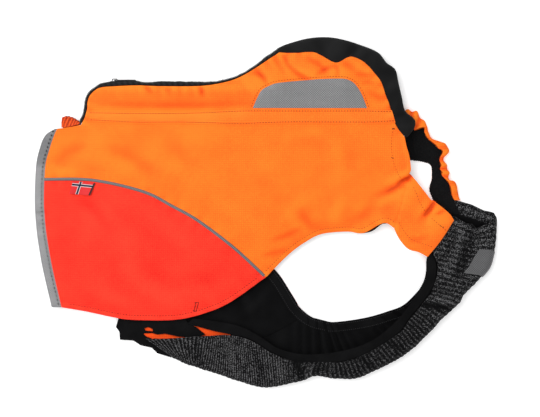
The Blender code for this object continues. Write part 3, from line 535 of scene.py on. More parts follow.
def grid(x, y, cell, width):
    """One on the lines of a square grid, and nothing between them."""
    return x.near(cell, width).math("MAXIMUM", y.near(cell, width))


RIPSTOP_CELL, RIPSTOP_THREAD = 2.7, 0.6
DEEP_FOLD = 1.2            # how deep a fold has to be for its painted shadow
DEEP_SHADE = 0.3           # what is left there of the shade's colour in the painted shadow


def ripstop(name, colour, shade):
    """Matt ripstop: a fine grid of thicker threads in a plain weave, a little uneven in colour,
    with painted shade in its folds, painted light on its ridges, and a painted shadow where a
    fold is deep."""
    finish = Finish(name, 0.75)
    vector, x, y, _ = finish.place()
    threads = grid(x, y, RIPSTOP_CELL, RIPSTOP_THREAD)
    clouds = finish.noise(vector, 30.0, 3.0)
    grain = finish.noise(vector, 0.9, 1.0)
    # Painted shade in the folds and painted light on the ridges come in through the fold mask.
    share = threads * 0.28 + clouds * 0.5 + grain * 1.2 - 0.58 + finish.fold() * 0.75
    cloth = finish.mix(share.clamped(), colour, shade)
    # Painted shadow, darker still, where a fold is deep.
    deep = (finish.fold() * 1.6 - DEEP_FOLD).clamped()
    shadow = tuple(value * DEEP_SHADE for value in shade)
    return finish.wear(finish.mix(deep, cloth, shadow), threads * 0.7 + grain * 0.6)


ORANGE = (0.96, 0.213, 0.016)
ORANGE_SHADE = (0.90, 0.085, 0.005)
orange = ripstop("orange ripstop", ORANGE, ORANGE_SHADE)

band_line = [(x, (high + low) / 2) for x, high, low in BAND]
band_seam = smooth([tuple(cut(spine, band_line[0][1], upper=True)[0])] + band_line
                   + [tuple(cut(collar_seam, band_line[-1][1], upper=True)[-1])])
side = outline(piping, leg, STRAP_SEAM[::-1], neck,
               cut(collar_seam, band_seam[-1][1], upper=False)[::-1], band_seam[::-1],
               cut(spine, band_seam[0][1], upper=False)[::-1], tail_top,
               cut(tape_seam, PIPING[0][1], upper=True))


def upper_piece(name, border, finish, slot, *rests_on, rise=SHELL_TOP, thickness=SHELL,
                step=CLOTH_STEP, turn=(TURN_IN, TURN_REACH), strip=None):
    """A piece of the upper side, laid over the field of heights. A strip's width and length
    are given, but are not used."""
    piece, points = cut_cloth(name + "_cloth", border, step)
    set_points(piece, over(points, rise - rolled(points, border, *turn)), sample(hollow, points))
    thicken(piece, thickness)
    dress(piece, finish, slot, name)
    size, area = cut_size(border)


upper_piece("side_right", side, orange, "orange_shell", "lining_left")

# The orange upper part of the right side, between the band and the zip. The same ripstop,
# pulled into small puckers by the zip's seam and into creases by the collar.
saddle = outline(band_seam, cut(collar_seam, band_seam[-1][1], upper=True)[::-1],
                 cut(spine, band_seam[0][1], upper=True)[::-1])
upper_piece("back_right", saddle, orange, "orange_shell", "lining_left")

# The red right flank below the piping. It is a tougher ripstop, cut with a round lower edge
# that is turned under and sewn.
RED = (0.98, 0.050, 0.023)
RED_SHADE = (0.72, 0.007, 0.005)
red = ripstop("red ripstop", RED, RED_SHADE)
flank = outline(cut(tape_seam, PIPING[0][1], upper=False), hem, piping[::-1])
upper_piece("flank_right", flank, red, "red_shell", "lining_left")

# The right shoulder strap, two layers of orange ripstop, sewn to the side under a deep fold
# and turned in at its end over the knit.
STRAP_LOWER = [(159, -20), (166, -34), (177, -46), (190, -50), (201, -56)]
STRAP_END = [(201, -56), (218, -35), (234, -10)]
STRAP_UPPER = [(234, -10), (229.5, -3), (222, 4), (213, 11), (208, 15), (205.5, 15.5),
               (198, 25), (189, 36.5), (182, 45), (178, 48)]
STRAP_THICK = 2.6
STRAP_TURN = (1.0, 2.0)
FINE_STEP = 1.6            # between the points of small pieces
strap = outline(smooth(STRAP_LOWER), smooth(STRAP_END), smooth(STRAP_UPPER), STRAP_SEAM)
upper_piece("strap_right", strap, orange, "orange_shell", "binding_right",
            thickness=STRAP_THICK, step=FINE_STEP, turn=STRAP_TURN)

# Reflective tape along the tail opening: woven tape with a grey glass-bead face, painted
# darker towards the top as shade where it turns away from the light, folded once across its
# width near the middle.
SILVER = (0.35, 0.35, 0.355)
SILVER_DARK = (0.115, 0.115, 0.12)
PATCH_GREY = (0.255, 0.255, 0.258)
PATCH_DARK = (0.10, 0.10, 0.102)
HATCH, HATCH_THREAD = 2.9, 0.9
TAPE_SHADE_Y = 54.0         # above this the tape is painted darker, as shade where it turns away from the light
TAPE_TURN = (0.9, 1.8)
TAPE_CUT = (0.0125, 0.228)


def reflective(name, colour, dark, shade_above_y=None):
    """Grey reflective cloth with a fine crossed weave and cloudy patches, with painted shade in
    its folds and, when a height is given, painted shade that grows above it.
    """
    finish = Finish(name, 0.45, gloss=0.3)
    vector, x, y, _ = finish.place()
    crossed = grid(x + y, x - y, HATCH, HATCH_THREAD)
    clouds = finish.noise(finish.stretched(vector, 0.5, 1.6), 16.0, 3.0)
    grain = finish.noise(vector, 0.7, 1.0)
    # The fold mask paints shade in the folds and light on the ridges.
    share = crossed * 1.2 + clouds * 1.2 + grain * 0.8 - 1.16 + finish.fold() * 0.5
    # Painted shade: darker the higher a place lies over the given height, as where the tape turns
    # away from the light.
    if shade_above_y is not None:
        share = share + (y - shade_above_y).math("MULTIPLY", 0.1).math("MINIMUM", 0.95).math(
            "MAXIMUM", 0.0)
    return finish.wear(finish.mix(share.clamped(), colour, dark), crossed + grain, 0.08)


silver_tape = reflective("reflective tape", SILVER, SILVER_DARK, TAPE_SHADE_Y)
silver = reflective("reflective patch", PATCH_GREY, PATCH_DARK)
tape = outline(tail_edge, [tail_edge[-1], tape_seam[-1]], tape_seam[::-1],
               [tape_seam[0], tail_edge[0]])
upper_piece("tape_right", tape, silver_tape, "reflective", "lining_right", step=FINE_STEP,
            turn=TAPE_TURN, strip=TAPE_CUT)

# The black lining of the right side, a smooth light weave. It is cut in one with the whole
# side, follows the shell's folds, and shows as a dark line at the leg hole.
LINING = 1.0
LINING_STEP = 3.4
LINING_TURN = (0.6, 1.6)
PEEP_X, PEEP_REACH = 134.0, 3.2     # where it shows below the edge of the leg hole
BLACK = (0.0022, 0.0022, 0.0024)
BLACK_LIGHT = (0.0066, 0.0066, 0.0070)


def black_weave(name, light, roughness, cell):
    """Black cloth with a faint weave, lighter dusty patches, painted shade in its folds and
    painted light on its ridges.
    """
    finish = Finish(name, roughness, gloss=0.03)
    vector, x, y, _ = finish.place()
    weave = grid(x, y, cell, cell * 0.3)
    clouds = finish.noise(vector, 21.0, 3.0)
    # The fold mask paints shade in the folds and light on the ridges.
    share = clouds * 0.9 + weave * 0.25 - 0.2 - finish.fold() * 0.7
    return finish.wear(finish.mix(share, BLACK, light), weave + clouds * 3.0, 0.12)


lining_cloth = black_weave("black lining", BLACK_LIGHT, 0.7, 1.4)
peeping = leg - np.column_stack([0 * leg[:, 0],
                                 PEEP_REACH * np.exp(-((leg[:, 0] - PEEP_X) / 9) ** 2)])
whole = outline(tail_edge, [tail_edge[-1], hem[0]], hem, peeping, STRAP_SEAM[::-1], neck,
                collar_seam[::-1], spine[::-1], tail_top, [tape_seam[0], tail_edge[0]])
upper_piece("lining_right", whole, lining_cloth, "black_lining", "lining_left",
            rise=LINING - 0.1, thickness=LINING - 0.1, step=LINING_STEP, turn=LINING_TURN)

# Sewing: rows of short threads that lie on the cloth a few millimetres inside each edge, with
# close bars of thread where a seam ends.
THREAD = 0.42
STITCH_LENGTH, STITCH_SPACE = 2.3, 3.5
STITCH_SIDES = (6, 4)      # round each stitch, and along it
STITCH_LIFT = 0.1          # middle of the thread over the cloth
HEM_STITCH = HEM_WIDTH - 0.6
RUN_STEP = 0.4


def thread_finish(name, colour):
    """Twisted thread, a little darker in patches."""
    finish = Finish(name, 0.6)
    grain = finish.noise(finish.place()[0], 1.2)
    return finish.wear(finish.mix(grain, colour, tuple(value * 0.6 for value in colour)))


def beside(line, amount):
    """A line moved to its left."""
    rows = np.array(line, dtype=float)
    ahead = np.gradient(rows, axis=0)
    ahead /= np.linalg.norm(ahead, axis=1)[:, None]
    return rows + amount * np.column_stack([-ahead[:, 1], ahead[:, 0]])


def small_parts(name, places, turns, size, sides, finish, slot):
    """One mesh of small equal parts, copies of one squashed ball at their places and turns."""
    bpy.ops.object.select_all(action="DESELECT")
    bpy.ops.mesh.primitive_uv_sphere_add(segments=sides[0], ring_count=sides[1], radius=1)
    piece = bpy.context.object
    piece.name = piece.data.name = name
    shape = np.empty(len(piece.data.vertices) * 3)
    piece.data.vertices.foreach_get("co", shape)
    shape = shape.reshape(-1, 3) * size
    faces = [face.vertices[:] for face in piece.data.polygons]
    corners = [tuple(len(shape) * index + corner for corner in face)
               for index in range(len(places)) for face in faces]
    points = np.vstack([place + shape @ turn for place, turn in zip(places, turns)])
    mesh = bpy.data.meshes.new(name)
    mesh.from_pydata([tuple(point) for point in (points - CENTRE) * MM], [], corners)
    piece.data = mesh
    mesh.shade_smooth()
    dress(piece, finish, slot)


def sew(name, lines, rise, finish, slot, length=STITCH_LENGTH, space=STITCH_SPACE, drape=over,
        thick=THREAD):
    """One mesh of stitches, short bars of thread along lines on the cloth."""
    places, turns = [], []
    for line in lines:
        run = spaced(line, RUN_STEP)
        long = len(run) * RUN_STEP
        middles = np.linspace(space / 2, long - space / 2, max(int(long / space), 1)) / RUN_STEP
        half = length / 2 / RUN_STEP
        starts = run[np.clip(middles - half, 0, len(run) - 1).astype(int)]
        stops = run[np.clip(middles + half, 0, len(run) - 1).astype(int)]
        for start, stop in zip(drape(starts, rise), drape(stops, rise)):
            along = (stop - start) / max(np.linalg.norm(stop - start), 1e-6)
            side = np.cross((0, 0, 1), along)
            side /= max(np.linalg.norm(side), 1e-6)
            turns.append(np.array((along, side, np.cross(along, side))))
            places.append((start + stop) / 2)
    small_parts(name, places, turns, (length / 2, thick, thick), STITCH_SIDES, finish, slot)


# The thread rows of the right side, polyester thread in orange on orange and red on red, which
# show as darker dashes, and the bar tacks at the ends of its seams.
orange_thread = thread_finish("orange thread", (0.36, 0.030, 0.006))
faint_thread = thread_finish("faint thread", (0.58, 0.060, 0.006))
red_thread = thread_finish("red thread", (0.30, 0.008, 0.006))
dark_thread = thread_finish("dark thread", (0.05, 0.012, 0.01))
sew("leg_stitching", [beside(leg, HEM_STITCH)[6:-6]], SHELL_TOP + STITCH_LIFT, faint_thread,
    "orange_shell")
sew("hem_stitching", [beside(hem, HEM_STITCH)[12:-12]], SHELL_TOP + STITCH_LIFT, red_thread,
    "red_shell")
NECK_STITCH = [(157, 101), (155.5, 86), (157, 68), (161, 55), (167, 43)]
STRAP_STITCH = [(183, 32), (188, 20), (193, 9), (198, 1)]
STRAP_END_STITCH = [(205, -7), (214, -14.5), (224, -23)]
STRAP_HEM_STITCH = [(165, -12), (172, -24), (181, -34), (194, -39), (207, -43.5)]
sew("neck_stitching", [smooth(line) for line in (NECK_STITCH, STRAP_STITCH, STRAP_END_STITCH,
                                                 STRAP_HEM_STITCH)],
    SHELL_TOP + STITCH_LIFT, faint_thread, "orange_shell")
BARS = [((156, 104.4), (159.6, 103)), ((156.6, 102.6), (159, 104.6)),
        ((155.2, 68.6), (158.6, 67.6)), ((216, -16.4), (218.2, -17.8)),
        ((219.6, -18.4), (221.6, -19.4)), ((-88, -112), (-91, -123)), ((-85, -112), (-88, -123)),
        ((-90, -113), (-86, -112)), ((-92, -122), (-88, -123.5))]
BAR_LENGTH, BAR_SPACE, BAR_LIFT = 2.0, 1.6, 0.25
sew("bar_tacks", [np.array(bar, dtype=float) for bar in BARS], SHELL_TOP + BAR_LIFT,
    dark_thread, "red_shell", BAR_LENGTH, BAR_SPACE)
COARSE_SPACE, COARSE_THREAD, COARSE_LIFT = 5.0, 0.85, 0.8
TAPE_STITCH = 2.9          # from the tape's seam to the thread on it
coarse_thread = thread_finish("grey thread", (0.004, 0.004, 0.004))
sew("tape_stitching", [beside(tape_seam, -TAPE_STITCH)[4:-4]], SHELL_TOP + COARSE_LIFT,
    coarse_thread, "reflective", space=COARSE_SPACE, thick=COARSE_THREAD)

# The orange band across the chest, a strip of the same ripstop laid over the seam and sewn
# along both edges.
BAND_CLOTH = 0.8
TRIM_LIFT = SHELL_TOP + 0.45       # underside of what is sewn on over the shell
BAND_STEP, BAND_TURN = 1.7, (0.5, 1.2)
BAND_CUT = (0.0165, 0.381)
BAND_STITCH, BAND_THREAD = 2.2, 0.52
BAND_END = ((155.4, 127.2), (160.2, 111.2))     # where it meets the collar seam
band_top = smooth([(x, high) for x, high, _ in BAND] + [BAND_END[0]])
band_foot = smooth([(x, low) for x, _, low in BAND] + [BAND_END[1]])
strip = outline(band_foot, [band_foot[-1], band_top[-1]], band_top[::-1],
                [band_top[0], band_foot[0]])
band_cloth = ripstop("orange band", (0.97, 0.220, 0.020), ORANGE_SHADE)
upper_piece("band_right", strip, band_cloth, "orange_shell", "side_right", "back_right",
            rise=TRIM_LIFT + BAND_CLOTH, thickness=BAND_CLOTH, step=BAND_STEP, turn=BAND_TURN,
            strip=BAND_CUT)
sew("band_stitching",
    [beside(band_top, -BAND_STITCH)[2:-2], beside(band_foot, BAND_STITCH)[2:-2]],
    TRIM_LIFT + BAND_CLOTH + STITCH_LIFT, orange_thread, "orange_shell", thick=BAND_THREAD)

# The reflective patch on the saddle, light woven cloth with a glass-bead face. It is cut as a
# low arch and sewn down over the shell with a row of orange thread.
PATCH = [(-17, 129.5), (-12, 141), (-6, 151), (4, 157), (18, 161), (61, 165), (88, 166),
         (100, 165), (108, 161), (114, 154), (119, 145), (125, 129.5)]
PATCH_CLOTH = 0.6
PATCH_STEP, PATCH_ROLL = 1.9, (0.4, 1.2)
PATCH_STITCH = 2.6         # outside the patch's edge
patch_arch = smooth(PATCH)
patch = outline(patch_arch, [patch_arch[-1], patch_arch[0]])
upper_piece("patch_right", patch, silver, "reflective", "back_right",
            rise=TRIM_LIFT + PATCH_CLOTH, thickness=PATCH_CLOTH, step=PATCH_STEP,
            turn=PATCH_ROLL)
sew("patch_stitching", [beside(patch_arch, PATCH_STITCH)], SHELL_TOP + STITCH_LIFT,
    orange_thread, "orange_shell")

# Reflective piping between the orange side and the red flank: a narrow grey strip folded over
# a cord, sewn into the seam.
PIPING_WIDTH, PIPING_RISE = 3.6, 1.6
PIPING_CLOTH = 0.5
PIPING_COLUMNS = 9
PIPING_SUNK = 0.35         # how deep its foot lies in the seam
PIPING_FOOT = 0.1
PIPING_GREY, PIPING_DARK = (0.19, 0.19, 0.195), (0.09, 0.09, 0.095)


def faces_in(points, facing):
    """Whether a loft's outer side has to be turned to look along facing, or away from the
    middle of each row where facing is None."""
    across = np.diff(points, axis=1)[:-1]
    along = np.diff(points, axis=0)[:, :-1]
    square = np.cross(across, along)
    if facing is None:
        toward = (points - points.mean(axis=1, keepdims=True))[:-1, :-1]
    else:
        toward = np.array(facing, dtype=float)
    return np.sum(square * toward) < 0


def loft(name, points, thickness, finish, slot, *nodes, facing=None, rests_on=(), fold=None):
    """Cloth through rows of points, with its thickness inwards. Its UV map runs across and
    along the rows. What it rests on is given for all but the narrowest trims, but is not used."""
    points = np.array(points, dtype=float)
    if faces_in(points, facing):
        points = points[:, ::-1]
        fold = None if fold is None else fold[:, ::-1]
    rows, columns = points.shape[:2]
    piece, shares = new_grid(name, columns - 1, rows - 1)
    column = np.rint(shares[:, 0] * (columns - 1)).astype(int)
    row = np.rint(shares[:, 1] * (rows - 1)).astype(int)
    set_points(piece, points[row, column], None if fold is None else fold[row, column])
    thicken(piece, thickness)
    dress(piece, finish, slot, *nodes)


piping_cloth = reflective("reflective piping", PIPING_GREY, PIPING_DARK)
piping_line = spaced(piping[:-5], FINE_STEP)
rows = []
for share in np.linspace(-1, 1, PIPING_COLUMNS):
    side_line = beside(piping_line, share * PIPING_WIDTH / 2)
    crown = PIPING_FOOT + (PIPING_RISE - PIPING_FOOT) * math.sqrt(1 - 0.97 * share ** 2)
    rows.append(over(side_line, TRIM_LIFT - PIPING_SUNK + crown))
loft("piping_right_cloth", np.array(rows).transpose(1, 0, 2), PIPING_CLOTH, piping_cloth,
     "reflective", "piping_right", facing=(0, 0, 1))

# The woven flag label in the piping seam: red satin with a navy cross edged in white, its
# free end lifted, and a dark band painted along its folded end, partly the painted shadow of
# the fold and partly its dark back side.
LABEL = [(-240.6, 38.9), (-245, 23), (-219, 21), (-212.5, 36.2)]
LABEL_RISE, LABEL_CURL = 1.6, 0.8
LABEL_CLOTH = 0.5
LABEL_COLUMNS, LABEL_ROWS = 19, 13
CROSS_BAR = ((-243.1, 34.6), (-215.6, 32.0))
CROSS_POST = ((-229.9, 40.6), (-236.0, 22.4))
NAVY_HALF, WHITE_HALF = 1.15, 1.75     # half widths of the cross and of its white edge
FOLD_SHADOW = 2.3
NAVY = (0.006, 0.009, 0.028)
WHITE = (0.60, 0.57, 0.57)
LABEL_RED, LABEL_SHADE = (0.68, 0.020, 0.022), (0.52, 0.012, 0.014)
FOLD_BACK_AND_SHADOW = (0.035, 0.006, 0.006)
flag = Finish("flag label", 0.5, sheen=0.2)
vector, x, y, _ = flag.place()


def from_line(line):
    """How far a place is from a straight line on the label."""
    (x0, y0), (x1, y1) = (np.array(point) - CENTRE[:2] for point in line)
    size = math.hypot(x1 - x0, y1 - y0)
    return (x * ((y1 - y0) / size) - y * ((x1 - x0) / size)
            + (x1 * y0 - y1 * x0) / size).math("ABSOLUTE")


cross = from_line(CROSS_BAR).math("MINIMUM", from_line(CROSS_POST))
ground = flag.mix(flag.noise(vector, 0.8), LABEL_RED, LABEL_SHADE)
white_edge = flag.mix(cross.math("LESS_THAN", WHITE_HALF), ground, WHITE)
pattern = flag.mix(cross.math("LESS_THAN", NAVY_HALF), white_edge, NAVY)
# A dark band painted along the folded end: the painted shadow of the fold, together with the
# label's dark back side.
in_shadow = from_line(LABEL[2:]).math("LESS_THAN", FOLD_SHADOW)
flag_cloth = flag.wear(flag.mix(in_shadow, pattern, FOLD_BACK_AND_SHADOW),
                       flag.noise(flag.stretched(vector, 3.0, 0.6), 1.0), 0.1)
label_top = np.linspace(LABEL[0], LABEL[3], LABEL_COLUMNS)
label_foot = np.linspace(LABEL[1], LABEL[2], LABEL_COLUMNS)
rows = []
for share in np.linspace(0, 1, LABEL_ROWS):
    places = label_top * (1 - share) + label_foot * share
    curl = LABEL_RISE * share + LABEL_CURL * share * np.cos(np.linspace(0, 7, LABEL_COLUMNS))
    rows.append(over(places, TRIM_LIFT + LABEL_CLOTH)
                + np.column_stack([0 * curl, 0 * curl, curl]))
loft("label_cloth", np.array(rows), LABEL_CLOTH, flag_cloth, "flag_label", "label",
     facing=(0, 0, 1), rests_on=["flank_right"])

# The black collar, two soft halves of fleece-backed knit sewn into the neck seam. They meet
# along the spine and part at the neck opening, where the right half ends in a rounded flap.
COLLAR_CLOTH = 1.8
COLLAR_FOLD = (10.4, 8.4)          # height of the right and left halves' edges
COLLAR_PARTING = (4.0, 5.5)        # how far they part at the neck opening
COLLAR_ROUNDNESS = 2.4
NECK_START, NECK_REACH = 0.5, 0.2
EDGE_GAP = 1.1
COLLAR_ROWS, COLLAR_COLUMNS = 150, 18
# Dents and swellings: share along the collar, share across it, height and reach along it.
COLLAR_DENTS = [(0.30, 0.5, 2.6, 0.035), (0.40, 0.55, -1.6, 0.03), (0.455, 0.45, 2.2, 0.022),
                (0.62, 0.5, -1.5, 0.03), (0.70, 0.6, 1.8, 0.025), (0.86, 0.5, -1.6, 0.02),
                (0.93, 0.4, 1.4, 0.02), (0.12, 0.5, 1.2, 0.04)]
CHARCOAL = (0.0062, 0.0062, 0.0064)
CHARCOAL_LIGHT = (0.0135, 0.0135, 0.0139)

fleece = Finish("collar cloth", 0.9, sheen=0.04, gloss=0.05)
vector = fleece.place()[0]
nap = fleece.noise(vector, 0.8, 3.0, 0.7)
# Painted shade in the collar's dents and painted light on its swellings, through the fold mask.
share = nap * 0.5 + fleece.noise(vector, 26.0) * 0.4 - 0.05 - fleece.fold() * 0.5
collar_cloth = fleece.wear(fleece.mix(share.clamped(), CHARCOAL, CHARCOAL_LIGHT), nap, 0.25)

start_line = smooth(COLLAR_SEAM, COLLAR_ROWS)
for name, edge, is_upper in (("collar_right", COLLAR_EDGE, True),
                             ("collar_left", COLLAR_EDGE[:12], False)):
    end_line = smooth(edge, COLLAR_ROWS)
    share = np.sin(np.linspace(0, math.pi / 2, COLLAR_COLUMNS))
    rise = np.maximum(1 - share ** COLLAR_ROUNDNESS, 0) ** (1 / COLLAR_ROUNDNESS)
    along = np.linspace(0, 1, COLLAR_ROWS)
    parting = blend((along - NECK_START) / NECK_REACH)
    if is_upper:
        high = over(start_line, SHELL_TOP, folded=0.0)[:, 2]
        low = COLLAR_FOLD[0] + parting * COLLAR_PARTING[0]
    else:
        high = np.zeros(COLLAR_ROWS)
        low = COLLAR_FOLD[1] - parting * COLLAR_PARTING[1]
    reach = end_line - start_line
    out = reach / np.linalg.norm(reach, axis=1)[:, None]
    root = start_line + out * EDGE_GAP * 0.5
    flat = root[:, None] + (end_line - root)[:, None] * share[:, None]
    level = low[:, None] + (high - low)[:, None] * rise
    points = np.dstack([flat, level])
    bulge = np.zeros(points.shape[:2])
    for place, depth_share, rise_mm, width in COLLAR_DENTS:
        bulge += rise_mm * np.exp(-((along[:, None] - place) / width) ** 2
                                  - ((share - depth_share) / 0.45) ** 2)
    bulge += 0.35 * np.sin(along[:, None] * 71 + share * 4) * np.sin(share * math.pi)
    if is_upper:
        points[:, :, 2] += bulge * 0.75
    # The dents and swellings set the fold mask, which paints shade in the dents and light on the
    # swellings.
    loft(name + "_knit", points, COLLAR_CLOTH, collar_cloth, "collar_cloth", name,
         facing=(0, 0, 1) if is_upper else (0, 0, -1), rests_on=["lining_left"],
         fold=-bulge / 1.6)
COLLAR_TACKS = [((120, 202), (116, 199), (103, 194)), ((165.5, 108), (168, 111), (170.5, 112))]
COLLAR_STITCH = (1.6, 2.2)     # length and spacing
sew("collar_stitching", [smooth(line) for line in COLLAR_TACKS], SHELL_TOP - 0.6, dark_thread,
    "collar_cloth", *COLLAR_STITCH)

# The zip round the spine: a black woven tape that folds from the right side to the left one,
# with its coil of teeth along the crest.
ZIP_TAPE = 1.3
ZIP_FOLD = [(-234, 112.5), (-230.5, 121), (-228, 130), (-227, 139), (-223, 149), (-210, 159.5),
            (-199, 162.6), (-188, 164), (-176, 164.3), (-163, 164.2), (-156, 162.6), (-146, 162),
            (-133, 163.5), (-88, 163), (-64, 163.3), (-37, 170.2), (-15, 182.8), (-2, 193.3),
            (8, 200), (17, 206)]
ZIP_START = 112.0
ZIP_ROWS = 220
ZIP_WEAVE = 260.0
FOLD_COLUMNS = 15
CREST_COLUMNS = (5, 9)     # where the two rows of teeth stand
TOOTH_SPACE = 1.7
TOOTH = (0.62, 0.95, 1.5)
TOOTH_SIDES = (8, 5)
TOOTH_SHIFT = 0.15
COIL, COIL_LIGHT = (0.006, 0.006, 0.007), (0.02, 0.02, 0.022)

zip_tape = Finish("zip tape", 0.7, gloss=0.15)
weave = (zip_tape.place("UV")[2] * ZIP_WEAVE).math("SINE") * 0.5 + 0.5
zip_cloth = zip_tape.wear(zip_tape.mix(weave * 0.5, BLACK, (0.020, 0.021, 0.023)), weave, 0.15)


def edge_fold(seam, fold, waves=0.0, count=FOLD_COLUMNS):
    """Rows of points that turn from the upper layer round the edge of the vest to the floor."""
    reach = fold - seam
    long = np.linalg.norm(reach, axis=1)
    out = np.column_stack([reach / long[:, None], np.zeros(len(seam))])
    half = (over(seam, SHELL_TOP, folded=0.0)[:, 2]) / 2
    swell = long - EDGE_GAP + waves
    turn = np.linspace(0, math.pi, count)
    root = np.column_stack([seam, half]) + out * EDGE_GAP
    up = np.array((0, 0, 1))
    return (root[:, None] + out[:, None] * (swell[:, None] * np.sin(turn))[:, :, None]
            + up * (half[:, None] * np.cos(turn))[:, :, None])


zip_seam = spaced(cut(spine, ZIP_START, upper=True), ZIP_ROWS)
zip_fold = smooth(ZIP_FOLD, ZIP_ROWS)
ripple = 0.35 * np.sin(np.arange(ZIP_ROWS) * 0.55) * np.sin(np.arange(ZIP_ROWS) * 0.11 + 1)
zip_points = edge_fold(zip_seam, zip_fold, ripple)
loft("zip_tape_cloth", zip_points, ZIP_TAPE, zip_cloth, "black_lining", "zip_tape",
     rests_on=["lining_left"])

plastic = Finish("zip coil", 0.4, gloss=0.35)
coil = plastic.wear(plastic.mix(plastic.noise(plastic.place()[0], 2.0), COIL, COIL_LIGHT))
crest = spaced(zip_points[:, CREST_COLUMNS[0]], TOOTH_SPACE)
crest_end = spaced(zip_points[:, CREST_COLUMNS[1]], len(crest))


def frames_along(line):
    """For each point of a line, its direction, the direction square to it and the third."""
    ahead = np.gradient(line, axis=0)
    ahead /= np.linalg.norm(ahead, axis=1)[:, None]
    square = np.cross((0.0, 0.0, 1.0), ahead)
    square /= np.linalg.norm(square, axis=1)[:, None]
    return np.stack([ahead, square, np.cross(ahead, square)], axis=1)


for name, line in (("zip_teeth_right", crest), ("zip_teeth_left", crest_end)):
    turns = frames_along(line)
    small_parts(name, line + turns[:, 1] * TOOTH_SHIFT, turns, TOOTH, TOOTH_SIDES, coil,
                "black_lining")

# The gathered tab that covers the tail end of the zip, red-orange ripstop drawn up on its seam
# and folded round the edge of the vest to the left side.
TAB = [(-256, 104.6, -256, 118.5), (-250, 105.2, -250.5, 120.5), (-243, 106.4, -243, 119),
       (-237, 107.8, -237.5, 116), (-233, 109.3, -233, 113)]
TAB_ROWS, TAB_COLUMNS = 110, 41
TAB_GATHERS = 6
TAB_SLANT = -20.0
TAB_CLOTH = 1.1
tab_cloth = ripstop("tab cloth", (0.84, 0.095, 0.013), (0.26, 0.014, 0.004))
tab_seam = smooth([row[:2] for row in TAB], TAB_ROWS)
tab_fold = smooth([row[2:] for row in TAB], TAB_ROWS)
tab_share = np.linspace(0, 1, TAB_ROWS)
gathers = tab_share * 2 * math.pi * TAB_GATHERS
tab_points = edge_fold(tab_seam, tab_fold, 0.3 * np.sin(gathers), TAB_COLUMNS)
fan = np.sin((gathers + 0.9 * np.sin(tab_share * 9))[:, None]
             + np.linspace(0, TAB_SLANT, TAB_COLUMNS))
across = np.sin(np.linspace(0, math.pi, TAB_COLUMNS))
tab_points[:, :, 2] += 0.6 * fan * across * np.linspace(1, 0, TAB_COLUMNS)
# The fold mask paints shade in the gathers and a dark painted line along the crest where the tab
# turns over the edge.
loft("tab_cloth", tab_points, TAB_CLOTH, tab_cloth, "red_shell", "tab",
     fold=0.15 - 0.5 * fan + 0.9 * (across > 0.93))

# The metal slider, stopped near the tail, and the pull that swings on its bridge. Both are
# copies of the fixed parts with their edges rounded, in black plated metal with small lighter
# steel spots.
STEEL = (0.42, 0.42, 0.43)
plated = Finish("plated metal", 0.3, metallic=0.7, gloss=0.5)
steel_spots = plated.noise(plated.place()[0], 1.1, 3.0)
metal = plated.wear(plated.mix((steel_spots - 0.6) * 12.0, BLACK, STEEL), steel_spots, 0.05)
for name, body, edge in (("zip_slider", "vest", 0.35), ("zip_pull", "pull", 0.3)):
    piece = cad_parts[name].copy()
    piece.data = piece.data.copy()
    piece.parent = None
    piece.name = piece.data.name = name + "_metal"
    bpy.context.collection.objects.link(piece)
    bpy.ops.object.select_all(action="DESELECT")
    piece.select_set(True)
    bpy.context.view_layer.objects.active = piece
    bpy.ops.object.mode_set(mode="EDIT")
    bpy.ops.mesh.select_all(action="SELECT")
    bpy.ops.mesh.remove_doubles(threshold=0.01 * MM)
    bpy.ops.mesh.dissolve_limited(angle_limit=math.radians(2))
    bpy.ops.object.mode_set(mode="OBJECT")
    rounding = piece.modifiers.new("rounded edges", "BEVEL")
    rounding.width = edge * MM
    rounding.segments = 3
    rounding.limit_method = "ANGLE"
    bpy.ops.object.modifier_apply(modifier=rounding.name)
    bpy.ops.object.shade_smooth_by_angle(angle=math.radians(40))
    piece.data.materials.clear()
    piece.data.materials.append(metal)
    for key in list(piece.keys()):
        del piece[key]
    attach(piece, body)
    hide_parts(name)

# The bib, a wide tube of ribbed melange knit, folded flat round the chest from the neck to the
# belly. Its ribs run across it and bunch up in the bends, and its mouth is hemmed inwards.
BIB = [
    (226, -4, 287.7, -13, 232, 13.5, 11.5),
    (207, -30, 287, -38, 219, -12, 11.5),
    (207, -47, 284, -52, 212, -32, 12.0),
    (214, -67, 278, -70, 204, -54, 14.5),
    (209, -92, 263, -86.5, 203, -72, 17.0),
    (199, -109, 246.5, -104, 198, -90, 18.0),
    (195, -114, 241, -113, 193, -96, 18.2),
    (180, -132, 218, -135, 173, -116, 19.0),
    (166, -150, 197, -157, 151, -125, 20.0),
    (144, -165, 173, -178, 127, -132, 20.0),
    (119, -179, 142, -195, 104, -136, 19.0),
    (94, -187, 112, -207.5, 83, -138, 18.0),
    (78, -187, 90, -208, 72, -136, 17.7),
    (55, -187, 61, -205, 60, -133, 17.3),
    (36, -187, 46, -210, 46, -132, 17.0),
    (7, -176, 21, -216, 23, -145, 16.0),
    (-21, -160, -6, -219, -6, -159, 13.0),
    (-47, -154, -39, -210, -39, -170, 10.0),
    (-74, -155, -72, -199, -77, -176, 9.0),
    (-105, -157, -92, -193, -98.5, -176, 8.5),
    (-130, -158.5, -105, -188, -118, -172.5, 8.0),
    (-152, -159, -117, -182, -138, -168, 7.5),
]
KNIT = 1.8
BIB_RIBS, RIB_POINTS, RIB_RISE = 82, 8, 0.9
BIB_BEND = 0.42            # how wide the fold is, by share of the bib's width
BIB_LIP = (12.0, 7.0)      # how far the mouth sags in the middle and swells at the fold
LIP_REACH = 0.095
BIB_WIDE, BIB_LONG = 150.0, 515.0
TABLE_ROWS = 1600
